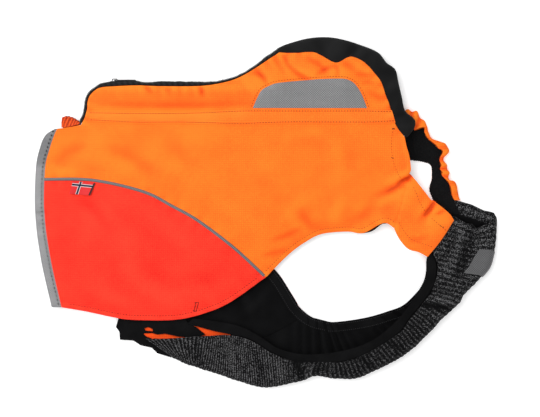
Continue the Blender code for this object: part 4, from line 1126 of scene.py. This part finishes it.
# How far the ribs run ahead along the fold, by share of the bib's length.
BIB_LEAN = [(0, 0), (0.12, 20), (0.24, 30), (0.42, 12), (0.9, 12), (1, 0)]
HEM_ROWS, LIP_ROWS = 12, 7
KNIT_HEM = (HEM_ROWS + LIP_ROWS) * BIB_LONG / (BIB_RIBS * RIB_POINTS)
KNIT_LONG = BIB_LONG + KNIT_HEM
# Folds of the knit's upper layer, columns as in CREASES.
BIB_CREASES = [
    (258, -17, 236, -80, 4, -3.4, 5.5), (247, -8, 222, -78, 5, 1.6, 6),
    (234, -24, 222, -56, 2, -2.2, 4), (275, -24, 256, -66, 4, 1.0, 6),
    (192, -114, 233, -121, 0, -4.6, 3.6), (200, -106, 246, -112, -2, 2.0, 5),
    (212, -92, 196, -104, 1, -1.8, 4), (204, -128, 226, -130, 0, 1.0, 4),
    (35, -183, 45, -209, 1, -3.4, 4.2), (49, -208, 61, -189, 1, 2.0, 4.2),
    (66, -188, 58, -207, 0, -1.8, 3.2), (84, -190, 80, -206, 0, 1.0, 5),
    (118, -181, 136, -196, 0, -1.4, 3.5), (152, -160, 176, -176, 0, -1.5, 3.5),
    (14, -185, 20, -214, 2, 1.2, 6), (-14, -172, -6, -214, 2, -1.4, 5),
    (-46, -164, -40, -206, 0, 0.9, 7), (-88, -164, -84, -192, 0, -1.2, 6),
]
KNIT_DARK = (0.0032, 0.0032, 0.0035)
KNIT_GREY = (0.138, 0.138, 0.142)
LOOP_TURN = 2 * math.pi / 2.6     # one loop of yarn every 2.6 mm across the bib

melange = Finish("melange knit", 0.95, sheen=0.05, gloss=0.03)
_, across_share, along_share, _ = melange.place("UV")
across_mm, along_mm = across_share * BIB_WIDE, along_share * KNIT_LONG
knit_place = melange.node("ShaderNodeCombineXYZ", None, {0: across_mm, 1: along_mm, 2: 0.0})
flecks = melange.noise(melange.place()[0], 1.2, 1.0, 0.6)
patches = melange.noise(knit_place, 9.0, 3.0)
rib_share = ((along_mm - KNIT_HEM) * (BIB_RIBS / BIB_LONG)).math("FRACT")
ridge = 0.5 - (rib_share * 2 * math.pi).math("COSINE") * 0.5
fine_ridge = 0.5 - (rib_share * 4 * math.pi).math("COSINE") * 0.5
rear = ((along_mm - 330.0) / 50.0).clamped()
ridge = ridge + rear * (fine_ridge - ridge)
near_mouth = (1 - along_mm / 170.0).math("MAXIMUM", 0.0)
loops = (across_mm * LOOP_TURN + rib_share * 4.0 + patches * 6.0).math("SINE")
# Lighter along each rib's crest, with painted shade in the folds and painted light on their ridges
# through the fold mask.
light = (ridge * (rear * 0.3 + 0.62) - 0.58 + ridge * loops * 0.25
         + (flecks - 0.5) * (near_mouth * 4.0 + 4.6)
         + (patches - 0.5) * 0.9 - melange.fold() * 0.9)
knit_cloth = melange.wear(melange.mix(light.clamped(), KNIT_DARK, KNIT_GREY),
                          loops * ridge * 0.5 + flecks, 0.4)


def bib_rows(count, low=0.0, high=1.0):
    """The outer side of the bib in rows, each from its lower edge round the fold to its upper
    edge, and each row's share of the bib's length."""
    table = smooth([(row[2], row[3], *row) for row in BIB], TABLE_ROWS)[:, 2:]
    shares = np.linspace(low, high, count)
    places = np.clip(shares * (TABLE_ROWS - 1), 0, TABLE_ROWS - 1)
    table = np.column_stack([np.interp(places, np.arange(TABLE_ROWS), column)
                             for column in table.T])
    upper, fold, lower = (np.column_stack([table[:, at], table[:, at + 1], np.zeros(count)])
                          for at in (0, 2, 4))
    tall = table[:, 6]
    wide_floor = np.linalg.norm(fold - lower, axis=1)
    wide_top = np.linalg.norm(fold - upper, axis=1)
    bend = np.minimum(np.minimum(tall / 2, BIB_BEND * wide_top), BIB_BEND * wide_floor)
    floor_end = fold - (fold - lower) * (bend / wide_floor)[:, None]
    top_end = fold - (fold - upper) * (bend / wide_top)[:, None]
    columns = [lower * (1 - share) + floor_end * share for share in np.linspace(0, 0.9, 7)]
    up = np.array((0, 0, 1.0))
    for turn in np.linspace(0, math.pi, 13)[:-1]:
        chord = floor_end + (top_end - floor_end) * turn / math.pi
        columns.append(chord + (fold - chord) * math.sin(turn)
                       + up * (tall / 2 * (1 - math.cos(turn)))[:, None])
    for share in np.linspace(0, 1, 17):
        columns.append(top_end + (upper - top_end) * share + up * tall[:, None])
    points = np.array(columns).transpose(1, 0, 2)
    lip = 1 - blend(shares / LIP_REACH)
    along = np.cross(up, (fold - lower) / wide_floor[:, None])
    sag, swell = BIB_LIP
    shift = np.interp(np.arange(points.shape[1]), [0, 6, 10, 13, 18, 23, 35],
                      [0, swell, swell * 0.9, 0, -sag * 0.2, -sag, 0])
    return points + along[:, None] * (lip[:, None] * shift)[:, :, None], shares


def square_to(points):
    """Directions square to a loft's surface, away from the middle of each row."""
    square = np.cross(np.gradient(points, axis=1), np.gradient(points, axis=0))
    square /= np.maximum(np.linalg.norm(square, axis=2), 1e-6)[:, :, None]
    middle = points - points.mean(axis=1, keepdims=True)
    return square * np.sign(np.sum(square * middle))


points, shares = bib_rows(BIB_RIBS * RIB_POINTS + 1)
columns = np.linspace(0, 1, points.shape[1])
lean = np.interp(shares, *np.array(BIB_LEAN).T) / BIB_LONG
for column, weight in enumerate(np.interp(columns, [0.37, 1], [1, 0])):
    leant = np.clip(shares + lean * weight, 0, 1)
    points[:, column] = np.column_stack([np.interp(leant, shares, row)
                                         for row in points[:, column].T])
square = square_to(points)
rib_wave = np.abs(np.sin(shares * BIB_RIBS * math.pi)) ** 0.8
uneven = 0.75 + 0.25 * np.sin(shares * 211) * np.sin(shares * 57 + 1)
raised = RIB_RISE * (rib_wave * uneven)[:, None] * blend((columns - 0.10) / 0.12)
bunched = sum(crease(points[:, :, 0], points[:, :, 1], *row) for row in BIB_CREASES)
raised += bunched * blend((columns - 0.36) / 0.12)
mouth = np.clip(1 - shares / 0.035, 0, 1)[:, None] ** 2
raised += mouth * (0.7 * np.sin(columns * 31) + 0.5 * np.sin(columns * 53 + 1))
raised += 0.35 * np.sin(columns * 23 + 9 * shares[:, None]) * np.sin(shares[:, None] * 90)
points = points + square * raised[:, :, None]
points[:, :, 2] = np.maximum(points[:, :, 2], 0.0)
ahead = points[0] - points[9]
ahead /= np.linalg.norm(ahead, axis=1)[:, None]
bulge = (1.6 * np.exp(-((columns - 0.08) / 0.09) ** 2) + 0.9 * np.sin(columns * 37)
         + 0.6 * np.sin(columns * 61 + 2))
points += (mouth * bulge)[:, :, None] * ahead
lip = KNIT + 0.15
turns = [points[0] + ahead * lip * math.sin(turn) - square[0] * lip * (1 - math.cos(turn))
         for turn in np.linspace(math.pi, 0, LIP_ROWS + 1)[:-1]]
hem_rows = points[HEM_ROWS:0:-1] - square[HEM_ROWS:0:-1] * 2 * lip
# The fold mask: painted shade in the bunched folds and between the ribs, painted light on the
# ridges.
fold = -bunched / 4 + 0.2 * (0.6 - rib_wave[:, None])
loft("bib_knit", np.concatenate([hem_rows, turns, points]), KNIT, knit_cloth, "melange_knit",
     "bib", rests_on=["side_left"],
     fold=np.concatenate([fold[HEM_ROWS:0:-1], np.repeat(fold[:1], LIP_ROWS, axis=0), fold]))

# The black lining inside the bib, the same smooth weave as the sides' own. It is sewn in at
# the bib's edges and pulled into gathers by the elastic of the leg bindings.
BIB_LINING_GAP = 0.7
BIB_LINING_ROWS, BIB_LINING_START = 560, 0.018
points, shares = bib_rows(BIB_LINING_ROWS, BIB_LINING_START)
columns = np.linspace(0, 1, points.shape[1])
square = square_to(points)
gathers = np.sin(shares * 2 * math.pi * 31 + 1.5 * np.sin(shares * 47))
gathers *= 0.6 + 0.4 * np.sin(shares * 23 + 0.5)
gather_rise = 1.1 * (1 + gathers)[:, None] * np.exp(-(columns / 0.22) ** 2)
points = points - square * (KNIT + BIB_LINING_GAP + gather_rise)[:, :, None]
# The gathers set the fold mask, for painted shade in their troughs and painted light on their
# crests.
loft("bib_lining_cloth", points[:, :24], LINING, lining_cloth, "black_lining", "bib_lining",
     rests_on=["side_left"], fold=0.5 * gathers[:, None] * np.ones(24))

# The dark reflective patch near the bib's mouth, a small piece of woven cloth with a glass-bead
# face, sewn to the knit across the fold.
PATCH_SHARES = (0.060, 0.128)
PATCH_TURN = 0.012         # how far its end at the fold runs ahead
PATCH_SPAN = (13, 25.0)    # the bib's columns between which it lies
PATCH_SLANT = 3.2
PATCH_ROWS = 60
SLATE, SLATE_DARK = (0.115, 0.115, 0.118), (0.05, 0.05, 0.052)
points, shares = bib_rows(PATCH_ROWS, *PATCH_SHARES)
ahead_points, _ = bib_rows(PATCH_ROWS, *(share + PATCH_TURN for share in PATCH_SHARES))
toward_fold = np.interp(np.arange(points.shape[1]), PATCH_SPAN, [1, 0])[:, None]
points = points * (1 - toward_fold) + ahead_points * toward_fold
square = square_to(points)
sink = np.linspace(0, 1, 16)
points = points + square * (RIB_RISE + 1.0)
ends = PATCH_SPAN[1] - PATCH_SLANT * np.linspace(1, 0, len(points))
points = np.stack([np.column_stack([np.interp(PATCH_SPAN[0] + (end - PATCH_SPAN[0]) * sink,
                                              np.arange(len(row)), axis) for axis in row.T])
                   for end, row in zip(ends, points)])
points[:, :, 2] += 0.25 * np.sin(shares[:, None] * 260) * np.sin(sink * 3)
slate = reflective("dark reflective", SLATE, SLATE_DARK)
loft("bib_patch_cloth", points, PATCH_CLOTH, slate, "dark_reflective", "bib_patch",
     rests_on=["bib"])

# The black elastic binding round the lower edge of the right leg hole, doubled over and a
# little wavy, with its cut edge rolled under.
BINDING = [
    (206, -44, 206, -48, 10.5),
    (200, -58, 211.5, -62, 13.0),
    (199, -73, 212, -76, 15.5),
    (196, -86, 208, -92, 17.0),
    (188, -100, 198, -108, 18.0),
    (172, -124, 179, -131, 19.0),
    (153, -144, 165, -149.5, 20.0),
    (131, -160, 143, -165, 20.0),
    (106, -170, 118.5, -178.5, 19.0),
    (75, -176, 89, -186.5, 18.0),
    (43, -177, 40, -187, 17.0),
    (15, -170, 9, -176, 15.5),
    (-9, -155, -20, -159, 12.5),
    (-33, -143, -45, -153, 9.5),
    (-62, -137, -66, -149, 6.8),
    (-92, -133, -99, -140, 6.7),
]
BINDING_CLOTH = 1.8
BINDING_ROWS = 210
elastic = black_weave("black elastic", (0.010, 0.010, 0.0105), 0.8, 1.1)
table = smooth(BINDING, BINDING_ROWS)
share = np.linspace(0, 1, 13)
inner_edge, outer_edge = table[:, 0:2], table[:, 2:4]
flat = inner_edge[:, None] + (outer_edge - inner_edge)[:, None] * share[:, None]
crown = 0.9 * np.abs(2 * share - 1) ** 2.6 + 0.25 * np.exp(-((share - 0.78) / 0.05) ** 2)
wave = 0.35 * np.sin(np.arange(BINDING_ROWS) * 0.42) * np.sin(np.arange(BINDING_ROWS) * 0.09)
level = table[:, 4][:, None] + 0.45 - crown + wave[:, None] * (1 - share)
loft("binding_right_elastic", np.dstack([flat, level]), BINDING_CLOTH, elastic, "black_lining",
     "binding_right", facing=(0, 0, 1), rests_on=["bib"])

# The left side of the vest, flat on the floor under the right one and raised from it in a few
# low folds: an orange side, a red flank and reflective tape along the tail opening.
FAR_HEM = [(-257, -117), (-221, -121), (-189, -128), (-173, -137), (-158, -151), (-146, -160),
           (-127, -166), (-108, -172), (-77, -173), (-40, -168), (-5.4, -157.6),
           (23.2, -142.9), (44, -129.4)]
FAR_LEG = [(44, -129.4), (38, -115), (29, -100), (17, -81), (2, -62), (-6, -35), (2, -4),
           (29, 21), (79, 40), (129, 55), (172, 66)]
FAR_NECK = [(172, 66), (172, 93)]
FAR_PIPING_END = [(-42, -36), (2, -62)]
FAR_STEP = 3.4
FAR_TURN = (0.12, 1.6)
FAR_LINING_BASE = 1.5
FAR_FOLDS = [
    (-230, 70, -150, 10, 8, 1.1, 11), (-190, 120, -60, 96, -6, 0.9, 9),
    (-60, 60, -40, -70, 7, 1.2, 10), (60, 170, 96, 96, -5, 1.2, 10),
    (120, 120, 30, 60, 6, 1.0, 12), (-240, -40, -150, -80, 9, 1.1, 12),
    (-110, -80, -60, -130, 5, 1.3, 8), (-20, -130, -45, -80, -4, 1.0, 7),
    (0, -100, -30, -125, 3, 0.8, 6), (-150, -20, -90, 40, -8, 0.8, 13),
    (10, 130, 40, 180, 4, 0.8, 8), (-30, -60, -12, -92, 2, 0.7, 5),
]
far_lift = 0.25 + 0.12 * np.sin(field_x / 17 + field_y / 31) * np.sin(field_y / 19 - 0.4)
for row in FAR_FOLDS:
    far_lift = far_lift + crease(field_x, field_y, *row)
# How deep each place lies in the left side's folds, the mask for the finishes' painted shade and
# light.
far_hollow = hollows(far_lift, 4, 0.7)
far_leg, far_hem = smooth(FAR_LEG), smooth(FAR_HEM)
far_neck = smooth(FAR_NECK)


def laid(name, border, top, thickness, finish, slot, *nodes, step=FAR_STEP, rests_on=(),
         strip=None):
    """A flat piece of the left side, raised in its folds. A strip's width and length are given,
    but are not used.
    """
    piece, points = cut_cloth(name, border, step)
    level = top + sample(far_lift, points) - rolled(points, border, *FAR_TURN)
    set_points(piece, np.column_stack([points[:, :2], level]), sample(far_hollow, points))
    thicken(piece, thickness)
    dress(piece, finish, slot, *nodes)
    size, area = cut_size(border)


far_piping = smooth(PIPING[:7] + FAR_PIPING_END)
far_side = outline(far_piping, cut(far_leg, far_piping[-1][1], upper=True), far_neck,
                   collar_seam[::-1], spine[::-1], tail_top,
                   cut(tape_seam, PIPING[0][1], upper=True))
laid("side_left_cloth", far_side, SHELL, SHELL, orange, "orange_shell", "side_left",
     rests_on=["floor"])
far_flank = outline(cut(tape_seam, PIPING[0][1], upper=False), far_hem,
                    cut(far_leg, far_piping[-1][1], upper=False), far_piping[::-1])
laid("flank_left_cloth", far_flank, SHELL, SHELL, red, "red_shell", "flank_left",
     rests_on=["floor"])
laid("tape_left_cloth", tape, SHELL, SHELL, silver_tape, "reflective", "tape_left", step=2.0,
     rests_on=["floor"])

# What shows of the left side from above: its black lining, the orange facing inside its red
# hem, its orange painted in shade, and the black elastic binding that runs from its leg hole
# on along the bib.
FACING_EDGE = [
    (-262, -97), (-221, -102), (-189, -107), (-150, -118), (-122, -130), (-102, -137.5),
    (-88, -142), (-77, -143.5), (-64, -146), (-47, -151), (-42, -167),
]
FACING_END = -42.0
# The facing's orange is a darker, redder copy of the shell's: painted shade where it lies under
# the hem.
SHADED_FACING_ORANGE, FACING_SHADE = (0.95, 0.10, 0.008), (0.78, 0.035, 0.003)
HEM_TUCK = 3.5             # how far the lining reaches under the bib's own
LEG_TURN = 0.8             # how far it wraps the edge of the leg hole
FAR_BINDING_TOP, FAR_BINDING_WIDTH = 4.8, 13.0
FAR_BINDING_CUT = (0.013, 0.235)
ELASTIC_STITCH, ELASTIC_LIFT = (1.6, 2.6), 0.12     # length and spacing, and height
STITCH_PLACES = (2.2, 11.2)            # from its edge along the leg hole
FAR_BINDING_BEND = (48.8, -126.0)     # where it rounds the corner between leg hole and bib
rear_hem, front_hem = far_hem[far_hem[:, 0] < FACING_END], far_hem[far_hem[:, 0] >= FACING_END]
facing_edge = np.vstack([smooth(FACING_EDGE)[:-3], rear_hem[-1]])
facing = outline(rear_hem, facing_edge[::-1], [facing_edge[0], far_hem[0]])
facing_cloth = ripstop("orange facing", SHADED_FACING_ORANGE, FACING_SHADE)
laid("facing_left_cloth", facing, FAR_LINING_BASE + LINING, LINING, facing_cloth,
     "orange_shell", "facing_left", step=2.6, rests_on=["flank_left"])
far_tail = cut(tail_edge, facing_edge[0][1], upper=True)
tucked_hem = beside(front_hem, -HEM_TUCK)
far_lining = outline(far_tail, [far_tail[-1], facing_edge[0]], facing_edge, tucked_hem,
                     beside(far_leg, -LEG_TURN), far_neck, collar_seam[::-1], spine[::-1],
                     tail_top, [tape_seam[0], far_tail[0]])
laid("lining_left_cloth", far_lining, FAR_LINING_BASE + LINING, LINING, lining_cloth,
     "black_lining", "lining_left", rests_on=["side_left", "flank_left"])
lower_leg = cut(far_leg, FAR_PIPING_END[-1][1], upper=False)[::-1]
bib_edge = [row[4:6] for row in BIB[13:4:-1]]
far_line = smooth([tuple(point) for point in spaced(lower_leg, 16.0)[:-1]]
                  + [FAR_BINDING_BEND] + bib_edge)
near_line, away_line = beside(far_line, 0.0), beside(far_line, -FAR_BINDING_WIDTH)
far_strip = outline(near_line, [near_line[-1], away_line[-1]], away_line[::-1],
                    [away_line[0], near_line[0]])
laid("binding_left_elastic", far_strip, FAR_BINDING_TOP, LINING, elastic, "black_lining",
     "binding_left", step=2.0, rests_on=["lining_left", "bib_lining"],
     strip=FAR_BINDING_CUT)


def on_floor(places, rise):
    """Points over the left side's folds."""
    return np.column_stack([places[:, :2], rise + sample(far_lift, places)])


black_thread = thread_finish("black thread", (0.030, 0.030, 0.032))
sew("binding_left_stitching", [beside(far_line, -place)[3:-3] for place in STITCH_PLACES],
    FAR_BINDING_TOP + ELASTIC_LIFT, black_thread, "black_lining", *ELASTIC_STITCH, on_floor)

# The left shoulder strap: orange ripstop drawn up by elastic, so that its outer edge rolls
# over its black pile lining in uneven pleats.
FAR_STRAP = [
    (172.8, 68, 173.6, 121, 174.4, 128.5, 0, 10), (184, 66, 183, 112, 186, 126.5, 0, 10),
    (190, 65.5, 187, 104, 195, 118, 0, 10), (196, 64.5, 197.5, 106.5, 201.5, 107.5, 0, 9),
    (199, 63.5, 198, 99.5, 203, 101, 0, 9), (203, 62.5, 203, 92, 207.5, 92.5, 0, 9),
    (206, 60, 208, 88, 217, 89, 0, 10), (207.5, 57, 215, 81, 226, 84.5, 0, 10),
    (208, 52, 220, 77, 228.6, 76.5, 0, 10), (208, 47, 217.5, 66, 222.6, 66.5, 0, 9),
    (208, 42, 218.6, 55, 227.5, 55.3, 0, 10), (206.5, 36, 220, 47, 229, 46, 0, 10),
    (205.5, 31, 225.5, 40.5, 229.5, 40.5, 0, 8), (206, 26, 229.5, 35.5, 237, 38, 0, 10),
    (208.5, 20, 231.5, 27, 239.5, 28, 0, 9), (210, 16, 233, 21, 241.5, 20, 0.4, 7),
    (212, 11, 236, 14, 243, 14, 1.2, 6), (216, 3, 240, 6, 246, 6, 1.2, 6),
    (222, -5, 243, -2, 249, -2, 1.2, 6),
]
SEWN_BELOW = 15.0          # where the orange cloth is sewn to the bib's lip
FAR_STRAP_ROWS = 190
PILE, PILE_LIGHT = (0.0022, 0.0022, 0.0025), (0.015, 0.015, 0.0155)
rows = smooth([(row[4], row[5], *row) for row in FAR_STRAP], FAR_STRAP_ROWS)[:, 2:]
hole, bend, edge = (np.column_stack([rows[:, at], rows[:, at + 1], np.maximum(rows[:, 6], 0)])
                    for at in (0, 2, 4))
roll = rows[:, 7]
run = np.arange(len(rows))
pleat = np.sin(run * 0.42 + 1.2 * np.sin(run * 0.10)) * (0.6 + 0.4 * np.sin(run * 0.061 + 1))
up = np.array((0, 0, 1.0))
columns = [hole * (1 - share) + bend * share for share in np.linspace(0, 0.9, 6)]
for turn in np.linspace(0, math.pi, 16):
    swing = math.sin(turn) * (1 + 0.10 * pleat) + 0.16 * pleat * math.sin(turn / 2) ** 6
    columns.append(bend + (edge - bend) * swing[:, None]
                   + up * (roll / 2 * (1 - math.cos(turn))
                           + 0.55 * pleat * math.sin(turn / 2) ** 4)[:, None])
strap = np.array(columns).transpose(1, 0, 2)
sewn = np.argmax(edge[:, 1] < SEWN_BELOW)
# The pleats set the fold mask, for painted shade between them and painted light on their crests.
loft("strap_left_cloth", strap[:sewn], SHELL, orange, "orange_shell", "strap_left",
     facing=(1, 0, -1), rests_on=["side_left"],
     fold=-0.9 * pleat[:sewn, None] * np.ones(len(columns)))
pile = Finish("black pile", 0.95, sheen=0.05, gloss=0.05)
tufts = pile.noise(pile.place()[0], 0.9, 4.0, 0.75)
pile_cloth = pile.wear(pile.mix((tufts - 0.4) * 2.2, PILE, PILE_LIGHT), tufts, 0.7)
beyond = (hole - bend) / np.linalg.norm(hole - bend, axis=1)[:, None]
beyond *= (0.9 + 0.6 * np.abs(np.sin(run * 0.5)))[:, None]
columns = []
for share in np.linspace(0, 0.97, 15):
    rise = FAR_LINING_BASE + LINING + 0.45 * (1 + pleat) * math.sin(share * 3) + 1.6 * share ** 4
    columns.append((hole + beyond) * (1 - share) + bend * share + up * rise[:, None])
loft("strap_lining_left_pile", np.array(columns).transpose(1, 0, 2), LINING, pile_cloth,
     "black_lining", "strap_lining_left", facing=(0, 0, 1), rests_on=["strap_left"])

# Two black elastic straps sewn between the flanks under the belly. Their ends show below the
# hem of the right flank, over the left side's lining.
BELLY_REAR = [(-187, -122), (-186, -134), (-189, -144), (-184.5, -150), (-184, -160),
              (-167, -161), (-158, -167), (-144, -170), (-137, -177), (-119, -182.5),
              (-124, -172), (-146, -157.5), (-150, -156.5), (-156.5, -151.5), (-151, -152),
              (-142, -151.5), (-143, -149.5), (-152, -148.5), (-154.5, -142), (-155, -122)]
BELLY_FRONT = [(-158, -122), (-157, -143), (-152.5, -146), (-148.7, -143.5), (-141, -147.8),
               (-145, -151), (-137, -153.5), (-127, -152.5), (-110.6, -156), (-95.6, -157),
               (-76, -154), (-87, -145), (-100.6, -137), (-101, -122)]
BELLY_TOP, BELLY_CLOTH = 4.0, 1.2
for name, shape, lie in (("belly_strap_rear", BELLY_REAR, 0.0),
                         ("belly_strap_front", BELLY_FRONT, BELLY_CLOTH + 0.1)):
    belly_line = spaced(shape, LINE_STEP)
    laid(name + "_elastic", outline(belly_line, [belly_line[-1], belly_line[0]]),
         BELLY_TOP + lie, BELLY_CLOTH, elastic, "black_lining", name, step=1.5,
         rests_on=["lining_left"])

# A pale studio floor, large soft lights and a camera that looks straight down, as for a
# product laid flat on a light table.
PHOTO_WIDTH = 0.675        # what the picture shows from side to side
VIEW_MIDDLE = (0.00456, 0.00512)
CAMERA_RISE = 2.2
SENSOR = 36.0
FLOOR_SIZE = 9.0
KEY_PLACE, KEY_SIZE, KEY_POWER = (-1.0, 0.6, 1.6), 1.9, 42.0
FILL_PLACE, FILL_SIZE, FILL_POWER = (0.9, -1.2, 1.8), 1.8, 19.0
WORLD_LIGHT = 0.43
TABLE_GLOW = 0.3
PALE, PALER = (0.86, 0.86, 0.86), (0.88, 0.88, 0.88)

bpy.ops.object.select_all(action="DESELECT")
bpy.ops.mesh.primitive_plane_add(size=FLOOR_SIZE)
floor = bpy.context.object
floor.name = "floor"
paper = Finish("pale floor", 0.9)
paper.shader.inputs["Emission Color"].default_value = (1, 1, 1, 1)
paper.shader.inputs["Emission Strength"].default_value = TABLE_GLOW
paper.wear(paper.mix(paper.noise(paper.place()[0], 400.0), PALE, PALER))
floor.data.materials.append(paper.material)


def soft_light(name, place, size, power):
    """A square light that faces the middle of the vest."""
    bpy.ops.object.light_add(type="AREA", location=place)
    light = bpy.context.object
    light.name = name
    light.data.size = size
    light.data.energy = power
    light.rotation_euler = (-Vector(place)).to_track_quat("-Z", "Y").to_euler()


soft_light("key light", KEY_PLACE, KEY_SIZE, KEY_POWER)
soft_light("fill light", FILL_PLACE, FILL_SIZE, FILL_POWER)
world = bpy.data.worlds.new("studio")
world.use_nodes = True
world.node_tree.nodes["Background"].inputs["Color"].default_value = (1, 1, 1, 1)
world.node_tree.nodes["Background"].inputs["Strength"].default_value = WORLD_LIGHT
bpy.context.scene.world = world
bpy.context.scene.view_settings.view_transform = "Standard"
bpy.context.scene.view_settings.exposure = 0.0

bpy.ops.object.camera_add(location=(*VIEW_MIDDLE, CAMERA_RISE + 0.012), rotation=(0, 0, 0))
camera = bpy.context.object
camera.name = "camera"
camera.data.sensor_width = SENSOR
camera.data.lens = SENSOR * CAMERA_RISE / PHOTO_WIDTH
bpy.context.scene.camera = camera
